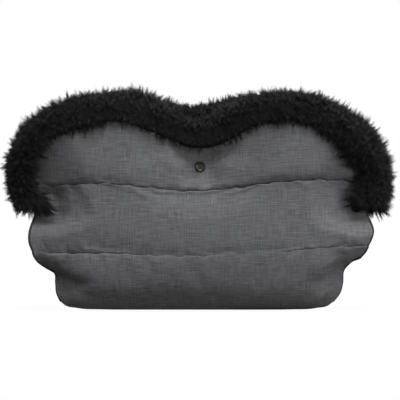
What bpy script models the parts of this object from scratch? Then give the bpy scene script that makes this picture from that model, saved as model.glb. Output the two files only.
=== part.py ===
"""Stroller hand muff: a quilted, fur-trimmed pouch that closes over a handlebar with press studs.

Metres, +Z up. X runs along the handlebar and the front of the muff faces -Y. The origin is on the
handlebar's centre line. Heights in this file are measured up from the muff's lowest point and are
shifted to the origin when a point is made.
"""
import math

import bmesh
import bpy
from mathutils import Vector

# Body, as seen from the front
HALF_WIDTH = 0.2435
LOWER_SEAM_HEIGHT = 0.0795
UPPER_SEAM_HEIGHT = 0.1747
LOBE_HEIGHT = 0.2705
# The notch at the foot of each side slot, as a share of the lower seam's height
NOTCH_SHARE = 0.68

# Space between the panels, each measured from the middle plane
CAVITY_HALF_GAP = 0.027
MOUTH_HALF_GAP = 0.033
TUB_END_HALF_GAP = 0.0015
TUB_END_TAPER = 0.070

# Layers
FABRIC = 0.0008
FIT = 0.0003
MIDDLE_PUFF = 0.018
TOP_PUFF = 0.017
TUB_PUFF = 0.019
SEAM_MARGIN = 0.0025
EDGE_MARGIN = 0.004

# Handlebar that the muff closes over
BAR_RADIUS = 0.015
BAR_SLACK = 0.008

# Press studs, line 24
CAP_RADIUS = 0.0075
CAP_HEIGHT = 0.0025
SOCKET_RADIUS = 0.0062
SOCKET_HEIGHT = 0.0038
SOCKET_FLOOR = 0.0008
STUD_RADIUS = 0.0060
STUD_BASE = 0.0010
KNOB_RADIUS = 0.0032
KNOB_HEIGHT = 0.0034
KNOB_CLEARANCE = 0.0007
RIVET_RADIUS = 0.0060
RIVET_HEIGHT = 0.0012
PRONG_RADIUS = 0.0020
PRONG_GRIP = 0.0016
CENTRE_STUD_X = -0.0014
# The side studs' place up the middle channel, and the centre stud's up the front's top channel
SIDE_STUD_SHARE = 0.6985
CENTRE_STUD_SHARE = 0.515
PAD_HALF_SIZE = 0.0095
CLAMPED_THICKNESS = 0.0034
DIMPLE_REACH = 0.030
STUD_SIDES = 16
# A prong's hole in the cloth, with two of its corners beside each corner of the pad round it
PRONG_HOLE_SIDES = 8
PRONG_HOLE_START = 202.5

# How far from a press stud's pad the panels have parted, along X, downwards and upwards
SIDE_PINCH_REACH = 0.070
SIDE_PINCH_DOWN = 0.032
SIDE_PINCH_UP = 0.095
CENTRE_PINCH_REACH = 0.110
CENTRE_PINCH_DOWN = 0.070
CENTRE_PINCH_UP = 0.140

# Fur trim and edge bindings
FUR_HALF_WIDTH = 0.020
FUR_HALF_DEPTH = 0.017
FUR_FORWARD = 0.004
BINDING_RADIUS = 0.0018
BINDING_SIDES = 6
HINGE_CLEARANCE = 0.0015
BINDING_END_GAP = 0.0025
SEAM_TAPE_DEPTH = 0.006
SEAM_TAPE_HALF_THICKNESS = 0.0012

# Side edges of the two panels between the seams, from the lower seam up, as shares of HALF_WIDTH
LEFT_EDGE_SHARES = (-0.961, -0.969, -0.987, -0.989, -0.969, -0.969, -0.980, -0.983)
RIGHT_EDGE_SHARES = (0.934, 0.938, 0.956, 0.990, 0.962, 0.962, 0.962, 0.962)
# Two of the middle channel's rows, as shares of its height
MIDDLE_ROW_SHARES = (0.13, 0.34)

# Side edges above the upper seam: share of the way up to the lobe's corner, then share of HALF_WIDTH
LEFT_CORNER_SHARES = ((0.0, -0.983), (0.33, -0.993), (0.70, -0.980), (0.93, -0.956), (1.0, -0.948))
RIGHT_CORNER_SHARES = ((0.0, 0.962), (0.33, 0.962), (0.70, 0.930), (0.93, 0.892), (1.0, 0.881))

# Top edge under the fur: share of HALF_WIDTH, then share of the way from upper seam to lobe top
FRONT_TOP_SHARES = (
    (-0.948, 0.548), (-0.915, 0.651), (-0.846, 0.785), (-0.723, 0.904), (-0.566, 0.963),
    (-0.397, 0.926), (-0.222, 0.756), (-0.045, 0.593), (0.033, 0.590), (0.181, 0.748),
    (0.327, 0.926), (0.490, 1.000), (0.641, 0.956), (0.770, 0.785), (0.846, 0.622),
    (0.881, 0.533),
)
BACK_TOP_SHARES = (
    (-0.948, 0.548), (-0.915, 0.651), (-0.846, 0.785), (-0.723, 0.904), (-0.566, 0.963),
    (-0.397, 0.950), (-0.222, 0.880), (-0.045, 0.825), (0.033, 0.825), (0.181, 0.872),
    (0.327, 0.945), (0.490, 1.000), (0.641, 0.956), (0.770, 0.785), (0.846, 0.622),
    (0.881, 0.533),
)
TOP_ROW_SHARE = 0.93

# Padding over each row, as shares of that channel's puff, and over the outermost columns
MIDDLE_PUFF_SHARES = (0.0, 0.13, 0.55, 0.95, 1.0, 0.80, 0.13, 0.0)
TOP_PUFF_SHARES = (0.13, 0.85, 1.0, 0.45, 0.0)
TUB_PUFF_SHARES = (0.0, 0.13, 0.55, 0.90, 1.0, 1.0, 0.95, 0.85)
COLUMN_PUFF_SHARES = (0.0, 0.16, 0.70, 0.95)
COLUMNS_BETWEEN = 5

# Tub, row by row from the seam down to the fold: the height of its sewn ends, as shares of the way
# down to the notch and then as shares of the notch's height, the end's edge as shares of HALF_WIDTH,
# and how much of the end's narrowing each row takes
ABOVE_NOTCH_SHARES = (0.0, 0.10, 0.44, 0.73, 1.0)
BELOW_NOTCH_SHARES = (0.70, 0.44, 0.22)
TUB_LEFT_SHARES = (-0.961, -0.957, -0.936, -0.899, -0.846, -0.844, -0.830, -0.799)
TUB_RIGHT_SHARES = (0.931, 0.925, 0.854, 0.830, 0.817, 0.827, 0.808, 0.758)
TUB_NARROWING_SHARES = (0.0, 0.02, 0.25, 0.65, 1.0, 1.0, 1.0, 1.0)
TUB_ARC_DEGREES = (35.0, 65.0)
TUB_ROW_SHARES = (0.35, 0.75)
# Lift of the tub's foot at its outermost columns, as shares of the lower seam's height
FOOT_LIFT_SHARES = (0.14, 0.095, 0.03, 0.005)

# Width of the fur at its lower ends and along it, as shares of FUR_HALF_WIDTH
FUR_END_SHARES = (0.70, 0.80, 0.84, 0.85, 0.86, 0.90)

# Sizes that follow from those above
MIDDLE_CHANNEL_HEIGHT = UPPER_SEAM_HEIGHT - LOWER_SEAM_HEIGHT
LOBE_RISE = LOBE_HEIGHT - UPPER_SEAM_HEIGHT
NOTCH_HEIGHT = LOWER_SEAM_HEIGHT * NOTCH_SHARE
SIDE_STUD_HEIGHT = LOWER_SEAM_HEIGHT + MIDDLE_CHANNEL_HEIGHT * SIDE_STUD_SHARE
CENTRE_RISE = LOBE_RISE * FRONT_TOP_SHARES[len(FRONT_TOP_SHARES) // 2][1]
CENTRE_STUD_HEIGHT = UPPER_SEAM_HEIGHT + CENTRE_RISE * CENTRE_STUD_SHARE
SEAM_THICKNESS = 2.0 * FABRIC + FIT
CLOSED_HALF_GAP = (SOCKET_HEIGHT + STUD_BASE + 3.0 * FIT) / 2.0
BAR_HEIGHT = SIDE_STUD_HEIGHT - CAP_RADIUS - BAR_RADIUS - BAR_SLACK
HINGE_Y = CAVITY_HALF_GAP + SEAM_THICKNESS

# Which way each panel faces along Y
FRONT = -1
BACK = 1

COLORS = {
    "outer_fabric": ((0.122, 0.123, 0.128), 0.95, 0.0),
    "lining_fleece": ((0.045, 0.045, 0.048), 0.98, 0.0),
    "wadding": ((0.80, 0.80, 0.78), 0.95, 0.0),
    "faux_fur": ((0.009, 0.009, 0.010), 0.85, 0.0),
    "edge_binding": ((0.030, 0.030, 0.032), 0.90, 0.0),
    "stud_metal": ((0.085, 0.080, 0.075), 0.38, 0.9),
}


def remove_everything():
    """Start from an empty scene."""
    for old in list(bpy.data.objects):
        bpy.data.objects.remove(old, do_unlink=True)


def material(name):
    """The named material, made once."""
    found = bpy.data.materials.get(name)
    if found:
        return found
    color, roughness, metallic = COLORS[name]
    made = bpy.data.materials.new(name)
    made.use_nodes = True
    shader = made.node_tree.nodes["Principled BSDF"]
    shader.inputs["Base Color"].default_value = (*color, 1.0)
    shader.inputs["Roughness"].default_value = roughness
    shader.inputs["Metallic"].default_value = metallic
    return made


def place(x, y, height):
    """A point in the part's frame from its height above the muff's foot."""
    return Vector((x, y, height - BAR_HEIGHT))


def smooth(share):
    """Ease from 0 to 1 with level ends."""
    bounded = min(max(share, 0.0), 1.0)
    return bounded * bounded * (3.0 - 2.0 * bounded)


def mix(first, second, share):
    """The value a share of the way from first to second."""
    return first + (second - first) * share


def read_curve(points, share):
    """Read a hand-chosen curve of (share, value) pairs at one share."""
    for (low, low_value), (high, high_value) in zip(points, points[1:]):
        if share <= high:
            return mix(low_value, high_value, (share - low) / (high - low))
    return points[-1][1]


def hinge_empty(name, side):
    """An empty on the quilting seam that one panel folds along."""
    empty = bpy.data.objects.new(name, None)
    empty.location = place(0, side * HINGE_Y, LOWER_SEAM_HEIGHT)
    bpy.context.collection.objects.link(empty)
    return empty


def add_object(name, mesh_data, material_name, parent=None, origin=None, is_smooth=False):
    """Link a bmesh, made in the part's frame, as one named object with its origin where asked."""
    bmesh.ops.recalc_face_normals(mesh_data, faces=mesh_data.faces)
    parent_place = parent.location if parent else Vector()
    own_place = origin if origin else parent_place
    bmesh.ops.translate(mesh_data, verts=mesh_data.verts, vec=-own_place)
    mesh = bpy.data.meshes.new(name)
    mesh_data.to_mesh(mesh)
    mesh_data.free()
    if is_smooth:
        mesh.shade_smooth()
        mesh.set_sharp_from_angle(angle=math.radians(40.0))
    obj = bpy.data.objects.new(name, mesh)
    obj.data.materials.append(material(material_name))
    bpy.context.collection.objects.link(obj)
    obj.parent = parent
    obj.location = own_place - parent_place
    return obj


# Press studs: where they sit and how they gather the panels


def left_stud_x():
    """The left stud sits a pad's width in from the panel's side edge."""
    return HALF_WIDTH * LEFT_EDGE_SHARES[4] + EDGE_MARGIN + PAD_HALF_SIZE


def right_stud_x():
    """The right stud sits a pad's width in from the panel's side edge."""
    return HALF_WIDTH * RIGHT_EDGE_SHARES[4] - EDGE_MARGIN - PAD_HALF_SIZE


def stud_places():
    """Each press stud: name, x, height, and its pinch along X, downwards and upwards."""
    side_pinch = (SIDE_PINCH_REACH, SIDE_PINCH_DOWN, SIDE_PINCH_UP)
    centre_pinch = (CENTRE_PINCH_REACH, CENTRE_PINCH_DOWN, CENTRE_PINCH_UP)
    return (
        ("left", left_stud_x(), SIDE_STUD_HEIGHT, side_pinch),
        ("centre", CENTRE_STUD_X, CENTRE_STUD_HEIGHT, centre_pinch),
        ("right", right_stud_x(), SIDE_STUD_HEIGHT, side_pinch),
    )


def beyond_pad(distance):
    """How far a distance reaches past the flat pad that a stud clamps."""
    return max(abs(distance) - PAD_HALF_SIZE, 0.0)


def openness(x, height):
    """0 where a press stud holds the panels together, 1 where they stand fully apart."""
    share = 1.0
    for _name, stud_x, stud_height, (reach, down, up) in stud_places():
        rise = height - stud_height
        across = beyond_pad(x - stud_x) / reach
        along = beyond_pad(rise) / (up if rise > 0 else down)
        share *= smooth(math.hypot(across, along))
    return share


def half_gap(x, height):
    """Half the space between the two linings."""
    climb = smooth((height - UPPER_SEAM_HEIGHT) / LOBE_RISE)
    open_gap = mix(CAVITY_HALF_GAP, MOUTH_HALF_GAP, climb)
    return mix(CLOSED_HALF_GAP, open_gap, openness(x, height))


def dimpled(x, height, thickness):
    """The padding's thickness, drawn in round each press stud."""
    share = 1.0
    for _name, stud_x, stud_height, _pinch in stud_places():
        reach = math.hypot(beyond_pad(x - stud_x), beyond_pad(height - stud_height))
        share *= smooth(reach / DIMPLE_REACH)
    if thickness <= CLAMPED_THICKNESS:
        return thickness
    return mix(CLAMPED_THICKNESS, thickness, share)


# Grids: rows of (point, outward direction, thickness) over the lining's inner face


def column_puff(column, count):
    """How much of the padding a column keeps near the side edges."""
    from_edge = min(column, count - 1 - column)
    return COLUMN_PUFF_SHARES[from_edge] if from_edge < len(COLUMN_PUFF_SHARES) else 1.0


def columns_across(left, right):
    """The x of each column between two side edges, with a flat pad's columns at each stud."""
    pad = EDGE_MARGIN + 2.0 * PAD_HALF_SIZE
    left_pad = CENTRE_STUD_X - PAD_HALF_SIZE
    right_pad = CENTRE_STUD_X + PAD_HALF_SIZE
    steps = [step / COLUMNS_BETWEEN for step in range(COLUMNS_BETWEEN + 1)]
    left_half = [mix(left + pad, left_pad, share) for share in steps]
    right_half = [mix(right_pad, right - pad, share) for share in steps]
    return [left, left + EDGE_MARGIN, *left_half, *right_half, right - EDGE_MARGIN, right]


def middle_outline():
    """The middle channel's rows as (height, left edge, right edge, puff)."""
    start = LOWER_SEAM_HEIGHT + FIT / 2.0
    between = [mix(LOWER_SEAM_HEIGHT, UPPER_SEAM_HEIGHT, share) for share in MIDDLE_ROW_SHARES]
    heights = [
        start,
        start + SEAM_MARGIN,
        *between,
        SIDE_STUD_HEIGHT - PAD_HALF_SIZE,
        SIDE_STUD_HEIGHT + PAD_HALF_SIZE,
        UPPER_SEAM_HEIGHT - SEAM_MARGIN,
        UPPER_SEAM_HEIGHT,
    ]
    lefts = [HALF_WIDTH * share for share in LEFT_EDGE_SHARES]
    rights = [HALF_WIDTH * share for share in RIGHT_EDGE_SHARES]
    return list(zip(heights, lefts, rights, MIDDLE_PUFF_SHARES))


def top_edge(top_shares):
    """The points of a panel's top edge as (x, height)."""
    return [
        (HALF_WIDTH * across, mix(UPPER_SEAM_HEIGHT, LOBE_HEIGHT, up))
        for across, up in top_shares
    ]


def top_row_shares(centre_height):
    """The top channel's rows, as shares of its height, with two beside the centre stud."""
    rise = centre_height - UPPER_SEAM_HEIGHT
    return (
        SEAM_MARGIN / rise,
        (CENTRE_STUD_HEIGHT - PAD_HALF_SIZE - UPPER_SEAM_HEIGHT) / rise,
        (CENTRE_STUD_HEIGHT + PAD_HALF_SIZE - UPPER_SEAM_HEIGHT) / rise,
        TOP_ROW_SHARE,
        1.0,
    )


def top_row(share, seam_columns, edge, corner_shares):
    """One row of the top channel, swept from the straight seam to the curved edge."""
    count = len(edge)
    row = []
    for column, (seam_x, (edge_x, edge_height)) in enumerate(zip(seam_columns, edge)):
        across = column / (count - 1)
        x = mix(seam_x, edge_x, share)
        height = mix(UPPER_SEAM_HEIGHT, edge_height, share)
        for corners, near, column_at in corner_shares:
            straight = mix(seam_columns[column_at], edge[column_at][0], share)
            bulge = HALF_WIDTH * read_curve(corners, share) - straight
            x += bulge * (1.0 - abs(across - near)) ** 4
        row.append((x, height))
    return row


def panel_grid(side, top_shares):
    """The grid of one hinged panel: its middle channel, then its top channel."""
    outward = Vector((0.0, side, 0.0))
    rows = []
    for height, left, right, puff in middle_outline():
        row = [(x, height) for x in columns_across(left, right)]
        rows.append((row, MIDDLE_PUFF, puff))
    edge = top_edge(top_shares)
    centre_height = edge[len(edge) // 2][1]
    seam_columns = columns_across(*middle_outline()[-1][1:3])
    corners = ((LEFT_CORNER_SHARES, 0.0, 0), (RIGHT_CORNER_SHARES, 1.0, -1))
    for share, puff in zip(top_row_shares(centre_height), TOP_PUFF_SHARES):
        rows.append((top_row(share, seam_columns, edge, corners), TOP_PUFF, puff))
    grid = []
    for row, channel_puff, puff in rows:
        line = []
        for column, (x, height) in enumerate(row):
            padding = (channel_puff - SEAM_THICKNESS) * puff * column_puff(column, len(row))
            thickness = dimpled(x, height, SEAM_THICKNESS + padding)
            point = place(x, side * half_gap(x, height), height)
            line.append((point, outward, thickness))
        grid.append(line)
    return grid


def tub_half_gap(from_end):
    """Half the tub's inner width at a distance from its sewn end."""
    return mix(TUB_END_HALF_GAP, CAVITY_HALF_GAP, smooth(from_end / TUB_END_TAPER))


def tub_section(row, column, count, from_end):
    """One point of the tub's inner face, on its front half, as (y, height, direction, thickness)."""
    puff = column_puff(column, count)
    radius = tub_half_gap(from_end)
    full = (TUB_PUFF - SEAM_THICKNESS) * puff
    outermost = min(column, count - 1 - column)
    lift_share = FOOT_LIFT_SHARES[outermost] if outermost < len(FOOT_LIFT_SHARES) else 0.0
    foot = LOWER_SEAM_HEIGHT * lift_share + SEAM_THICKNESS + full * TUB_PUFF_SHARES[-1]
    arc_centre = foot + radius
    start = LOWER_SEAM_HEIGHT - FIT / 2.0
    straight = start - arc_centre
    arc_heights = [
        arc_centre - radius * math.sin(math.radians(angle)) for angle in TUB_ARC_DEGREES
    ]
    middle_heights = [
        start,
        start - SEAM_MARGIN,
        *(start - straight * share for share in TUB_ROW_SHARES),
        arc_centre,
        *arc_heights,
        foot,
    ]
    end_heights = [mix(start, NOTCH_HEIGHT, share) for share in ABOVE_NOTCH_SHARES]
    end_heights += [NOTCH_HEIGHT * share for share in BELOW_NOTCH_SHARES]
    height = mix(end_heights[row], middle_heights[row], smooth(from_end / TUB_END_TAPER))
    height = start - SEAM_MARGIN if row == 1 else max(height, foot)
    thickness = SEAM_THICKNESS + full * TUB_PUFF_SHARES[row]
    if row == len(TUB_PUFF_SHARES) - 1:
        return 0.0, foot, (0.0, -1.0), thickness
    drop = min(max((arc_centre - height) / radius, 0.0), 1.0)
    reach = math.sqrt(1.0 - drop * drop)
    width = mix(CAVITY_HALF_GAP, radius, TUB_NARROWING_SHARES[row])
    return width * reach, height, (reach, -drop), thickness


def tub_grid():
    """The grid of the tub, from the front seam down under the fold and up to the back seam."""
    rows = []
    for row, (left_share, right_share) in enumerate(zip(TUB_LEFT_SHARES, TUB_RIGHT_SHARES)):
        left = HALF_WIDTH * left_share
        right = HALF_WIDTH * right_share
        xs = columns_across(left, right)
        line = []
        for column, x in enumerate(xs):
            from_end = min(x - left, right - x)
            line.append((x, *tub_section(row, column, len(xs), from_end)))
        rows.append(line)
    halves = [(row, FRONT) for row in rows] + [(row, BACK) for row in reversed(rows[:-1])]
    grid = []
    for row, side in halves:
        grid.append([
            (place(x, side * y, height), Vector((0.0, side * out_y, out_z)), thickness)
            for x, y, height, (out_y, out_z), thickness in row
        ])
    return grid


# Layers between two offsets of a grid


def lining_offsets(_thickness):
    return 0.0, FABRIC


def wadding_offsets(thickness):
    return FABRIC + FIT, thickness - FABRIC - FIT


def shell_offsets(thickness):
    return thickness - FABRIC, thickness


def stud_in_cell(low, high):
    """The seat of the press stud whose prong passes between two opposite corners, if one does."""
    for _name, x, height, _pinch in stud_places():
        seat = place(x, 0, height)
        if low.x < seat.x < high.x and low.z < seat.z < high.z:
            return seat
    return None


def fill_cell(made, corners, is_right):
    """Two triangles over one cell, mirrored between the muff's left and right."""
    first, second, third, fourth = corners[1:] + corners[:1] if is_right else corners
    made.faces.new((first, second, third))
    made.faces.new((first, third, fourth))


def open_cell(made, corners, seat):
    """Faces from a cell's corners in to the edge of a prong's hole."""
    level = sum(corner.co.y for corner in corners) / len(corners)
    edge = []
    for step in range(PRONG_HOLE_SIDES):
        angle = math.radians(PRONG_HOLE_START) + 2.0 * math.pi * step / PRONG_HOLE_SIDES
        reach = PRONG_RADIUS + FIT
        x = seat.x + reach * math.cos(angle)
        z = seat.z + reach * math.sin(angle)
        edge.append(made.verts.new((x, level, z)))
    for index, corner in enumerate(corners):
        after = (index + 1) % len(corners)
        made.faces.new((corner, edge[2 * index + 1], edge[2 * index]))
        made.faces.new((corner, corners[after], edge[2 * after], edge[2 * index + 1]))
    return edge


def join_loops(made, first, second):
    """A wall between two loops of vertices."""
    for index in range(len(first)):
        after = (index + 1) % len(first)
        made.faces.new((first[index], first[after], second[after], second[index]))


def cover_cells(made, verts):
    """Cover one face of a layer, and give the edges of the prong holes in it."""
    hole_edges = []
    for low, high in zip(verts, verts[1:]):
        for column in range(len(low) - 1):
            corners = [low[column], low[column + 1], high[column + 1], high[column]]
            seat = stud_in_cell(corners[0].co, corners[2].co)
            if seat:
                hole_edges.append(open_cell(made, corners, seat))
            else:
                fill_cell(made, corners, is_right=2 * column + 1 > len(low) - 1)
    return hole_edges


def layer_mesh(grid, offsets):
    """A closed sheet whose two faces follow the grid at the layer's offsets."""
    made = bmesh.new()
    rows, columns = len(grid), len(grid[0])
    faces = [[], []]
    for line in grid:
        for which in (0, 1):
            verts = []
            for point, outward, thickness in line:
                verts.append(made.verts.new(point + outward * offsets(thickness)[which]))
            faces[which].append(verts)
    inner, outer = faces
    for inner_edge, outer_edge in zip(cover_cells(made, inner), cover_cells(made, outer)):
        join_loops(made, inner_edge, outer_edge)
    rim = [(0, column) for column in range(columns - 1)]
    rim += [(row, columns - 1) for row in range(rows - 1)]
    rim += [(rows - 1, column) for column in range(columns - 1, 0, -1)]
    rim += [(row, 0) for row in range(rows - 1, 0, -1)]
    for (row, column), (next_row, next_column) in zip(rim, rim[1:] + rim[:1]):
        made.faces.new((
            inner[row][column],
            inner[next_row][next_column],
            outer[next_row][next_column],
            outer[row][column],
        ))
    return made


def inside_edges(rows):
    """The grid without its outermost column at each side, where no wadding reaches."""
    return [row[1:-1] for row in rows]


def build_panel(prefix, side, top_shares, hinge):
    """The layers of one hinged panel: fabric, wadding for each channel and lining."""
    grid = panel_grid(side, top_shares)
    seam_row = len(MIDDLE_PUFF_SHARES) - 1
    middle = inside_edges(grid[1:seam_row])
    top = inside_edges(grid[seam_row + 1:-1])
    for name, part_grid, offsets, cloth in (
        ("shell", grid, shell_offsets, "outer_fabric"),
        ("middle_wadding", middle, wadding_offsets, "wadding"),
        ("top_wadding", top, wadding_offsets, "wadding"),
        ("lining", grid, lining_offsets, "lining_fleece"),
    ):
        add_object(f"{prefix}_{name}", layer_mesh(part_grid, offsets), cloth, hinge)
    return grid


def build_tub():
    """The lower channel: one length of fabric, wadding and lining folded under the cavity."""
    grid = tub_grid()
    add_object("tub_shell", layer_mesh(grid, shell_offsets), "outer_fabric")
    add_object("tub_wadding", layer_mesh(inside_edges(grid[1:-1]), wadding_offsets), "wadding")
    add_object("tub_lining", layer_mesh(grid, lining_offsets), "lining_fleece")
    return grid


# Fur trim, bindings and tapes along the edges


def edge_path(grid, column, rows):
    """Points half way through the panel's thickness, down one side edge."""
    path = []
    for row in rows:
        point, outward, thickness = grid[row][column]
        path.append(point + outward * thickness / 2.0)
    return path


def flat_normals(path, turn):
    """At each point of a path, the mitred direction square to it as seen from the front."""
    squares = []
    for before, after in zip(path, path[1:]):
        along = after - before
        squares.append(Vector((-along.z, 0.0, along.x)).normalized() * turn)
    normals = [squares[0]]
    for first, second in zip(squares, squares[1:]):
        middle = (first + second).normalized()
        normals.append(middle / middle.dot(first))
    return normals + [squares[-1]]


def ringed_tube(rings):
    """A closed tube through rings of points, with a flat cap at each end."""
    made = bmesh.new()
    loops = [[made.verts.new(point) for point in ring] for ring in rings]
    for first, second in zip(loops, loops[1:]):
        join_loops(made, first, second)
    made.faces.new(loops[0])
    made.faces.new(loops[-1])
    return made


def fur_path(grid):
    """The panel's free edge, from the left end of the fur over the lobes to its right end."""
    first_row = MIDDLE_PUFF_SHARES.index(1.0)
    last_row = len(grid) - 1
    left = edge_path(grid, 0, range(first_row, last_row))
    top = [
        point + outward * thickness / 2.0
        for point, outward, thickness in grid[last_row]
    ]
    right = edge_path(grid, -1, range(last_row - 1, first_row - 1, -1))
    return left + top + right


def fur_section(centre, out, half_width, half_depth):
    """Eight points round the fur: flat towards the panel, with softened corners."""
    corner = math.tan(math.radians(22.5))
    through = Vector((0.0, 1.0, 0.0))
    shape = (
        (1.0, corner), (corner, 1.0), (-corner, 1.0), (-1.0, corner),
        (-1.0, -corner), (-corner, -1.0), (corner, -1.0), (1.0, -corner),
    )
    return [
        centre + out * half_width * wide + through * half_depth * deep
        for wide, deep in shape
    ]


def build_fur(prefix, side, grid, hinge):
    """The faux fur strip sewn along one panel's edge."""
    path = fur_path(grid)
    normals = flat_normals(path, 1.0)
    rings = []
    for index, (point, out) in enumerate(zip(path, normals)):
        from_end = min(index, len(path) - 1 - index)
        share = FUR_END_SHARES[from_end] if from_end < len(FUR_END_SHARES) else 1.0
        half_width = FUR_HALF_WIDTH * share
        parted = min(abs(point.y) / MOUTH_HALF_GAP, 1.0)
        half_depth = FUR_HALF_DEPTH * mix(FUR_END_SHARES[0], 1.0, parted)
        depth = max(abs(point.y) + FUR_FORWARD, half_depth + FIT)
        centre = point + out * (half_width + FIT)
        centre.y = side * depth
        rings.append(fur_section(centre, out, half_width, half_depth))
    add_object(f"{prefix}_fur_trim", ringed_tube(rings), "faux_fur", hinge)


def bead_rings(path, outs):
    """Rings of a round bead laid just outside an edge."""
    rings = []
    reach = BINDING_RADIUS + FIT
    for index, (point, out) in enumerate(zip(path, outs)):
        before = path[max(index - 1, 0)]
        after = path[min(index + 1, len(path) - 1)]
        along = (after - before).normalized()
        across = (out - along * out.dot(along)).normalized()
        third = along.cross(across)
        centre = point + out * reach
        ring = []
        for step in range(BINDING_SIDES):
            angle = 2.0 * math.pi * step / BINDING_SIDES
            offset = across * math.cos(angle) + third * math.sin(angle)
            ring.append(centre + offset * BINDING_RADIUS)
        rings.append(ring)
    return rings


def shorten(path, length, at_end):
    """Move one end of a path along its first or last stretch."""
    trimmed = list(path)
    tip, inner = (-1, -2) if at_end else (0, 1)
    stretch = trimmed[inner] - trimmed[tip]
    trimmed[tip] = trimmed[tip] + stretch.normalized() * length
    return trimmed


def build_slot_bindings(prefix, grid, hinge):
    """The bound edge of one panel beside each side slot, below the fur."""
    rows = range(MIDDLE_PUFF_SHARES.index(1.0) + 1)
    for which, column, turn in (("left", 0, 1.0), ("right", -1, -1.0)):
        path = edge_path(grid, column, rows)
        outs = flat_normals(path, turn)
        path = shorten(path, HINGE_CLEARANCE, at_end=False)
        path = shorten(path, BINDING_END_GAP, at_end=True)
        add_object(
            f"{prefix}_{which}_slot_binding",
            ringed_tube(bead_rings(path, outs)),
            "edge_binding",
            hinge,
            is_smooth=True,
        )


def build_notch_bindings(grid):
    """The bound edge round the bottom of each side slot, from front seam to back seam."""
    notch_row = TUB_NARROWING_SHARES.index(1.0)
    for which, column, turn in (("left", 0, -1.0), ("right", -1, 1.0)):
        past_notch = edge_path(grid, column, range(notch_row + 2))
        outs = flat_normals(past_notch, turn)[:-1]
        front = past_notch[:-1]
        back = [Vector((point.x, -point.y, point.z)) for point in reversed(front)]
        path = shorten(front + back, HINGE_CLEARANCE, at_end=False)
        path = shorten(path, HINGE_CLEARANCE, at_end=True)
        add_object(
            f"{which}_notch_binding",
            ringed_tube(bead_rings(path, outs + outs[::-1])),
            "edge_binding",
            is_smooth=True,
        )


def build_seam_tapes(grid):
    """The tape caught in the sewn side seam at each end of the tub."""
    notch_row = TUB_NARROWING_SHARES.index(1.0)
    last_row = len(TUB_PUFF_SHARES) - 2
    for which, column, inward in (("left", 0, 1.0), ("right", -1, -1.0)):
        outer = [grid[row][column][0] for row in range(notch_row, last_row + 1)]
        rings = []
        for point in outer:
            rings.append([
                Vector((point.x + inward * depth, side * SEAM_TAPE_HALF_THICKNESS, point.z))
                for depth, side in (
                    (0.0, FRONT), (SEAM_TAPE_DEPTH, FRONT), (SEAM_TAPE_DEPTH, BACK), (0.0, BACK)
                )
            ])
        add_object(f"{which}_seam_tape", ringed_tube(rings), "edge_binding")


# Press studs


def turned(name, profile, seat, side, hinge):
    """Turn a profile of (radius, outward distance) round a stud's axis."""
    made = bmesh.new()
    verts = [made.verts.new(seat + Vector((radius, side * out, 0.0))) for radius, out in profile]
    closes = profile[0][0] > 0.0
    pairs = list(zip(verts, verts[1:]))
    if closes:
        pairs.append((verts[-1], verts[0]))
    edges = [made.edges.new(pair) for pair in pairs]
    bmesh.ops.spin(
        made,
        geom=verts + edges,
        cent=seat,
        axis=(0.0, 1.0, 0.0),
        angle=2.0 * math.pi,
        steps=STUD_SIDES,
    )
    bmesh.ops.remove_doubles(made, verts=made.verts, dist=FIT / 10.0)
    return add_object(name, made, "stud_metal", hinge, origin=seat, is_smooth=True)


def cap_profile():
    """The cap's dished face and rolled rim, and the prong that goes through the cloth."""
    tip = -(FIT + CLAMPED_THICKNESS + FIT + SOCKET_FLOOR)
    return (
        (0.0, CAP_HEIGHT * 0.60),
        (CAP_RADIUS * 0.62, CAP_HEIGHT * 0.72),
        (CAP_RADIUS * 0.74, CAP_HEIGHT * 0.95),
        (CAP_RADIUS * 0.86, CAP_HEIGHT),
        (CAP_RADIUS, CAP_HEIGHT * 0.55),
        (CAP_RADIUS * 0.96, 0.0),
        (PRONG_RADIUS, 0.0),
        (PRONG_RADIUS, tip),
        (0.0, tip),
    )


def socket_profile():
    """A ring with a floor and a recess for the knob."""
    hole = PRONG_RADIUS + FIT
    recess = KNOB_RADIUS + KNOB_CLEARANCE
    return (
        (hole, 0.0),
        (SOCKET_RADIUS, 0.0),
        (SOCKET_RADIUS, SOCKET_HEIGHT * 0.8),
        (SOCKET_RADIUS * 0.9, SOCKET_HEIGHT),
        (recess, SOCKET_HEIGHT),
        (recess, SOCKET_FLOOR),
        (hole, SOCKET_FLOOR),
    )


def stud_profile():
    """A flange with a waisted knob, hollow for the rivet's prong."""
    hole = PRONG_RADIUS + FIT
    depth = PRONG_GRIP + FIT
    return (
        (0.0, KNOB_HEIGHT),
        (KNOB_RADIUS * 0.85, KNOB_HEIGHT * 0.96),
        (KNOB_RADIUS, KNOB_HEIGHT * 0.75),
        (KNOB_RADIUS * 0.9, KNOB_HEIGHT * 0.5),
        (KNOB_RADIUS, STUD_BASE),
        (STUD_RADIUS * 0.9, STUD_BASE),
        (STUD_RADIUS, STUD_BASE * 0.7),
        (STUD_RADIUS, 0.0),
        (hole, 0.0),
        (hole, depth),
        (0.0, depth),
    )


def rivet_profile():
    """The rivet's low head and its prong."""
    tip = -(FIT + CLAMPED_THICKNESS + FIT + PRONG_GRIP)
    return (
        (0.0, RIVET_HEIGHT),
        (RIVET_RADIUS * 0.7, RIVET_HEIGHT * 0.85),
        (RIVET_RADIUS, RIVET_HEIGHT * 0.35),
        (RIVET_RADIUS, 0.0),
        (PRONG_RADIUS, 0.0),
        (PRONG_RADIUS, tip),
        (0.0, tip),
    )


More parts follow.
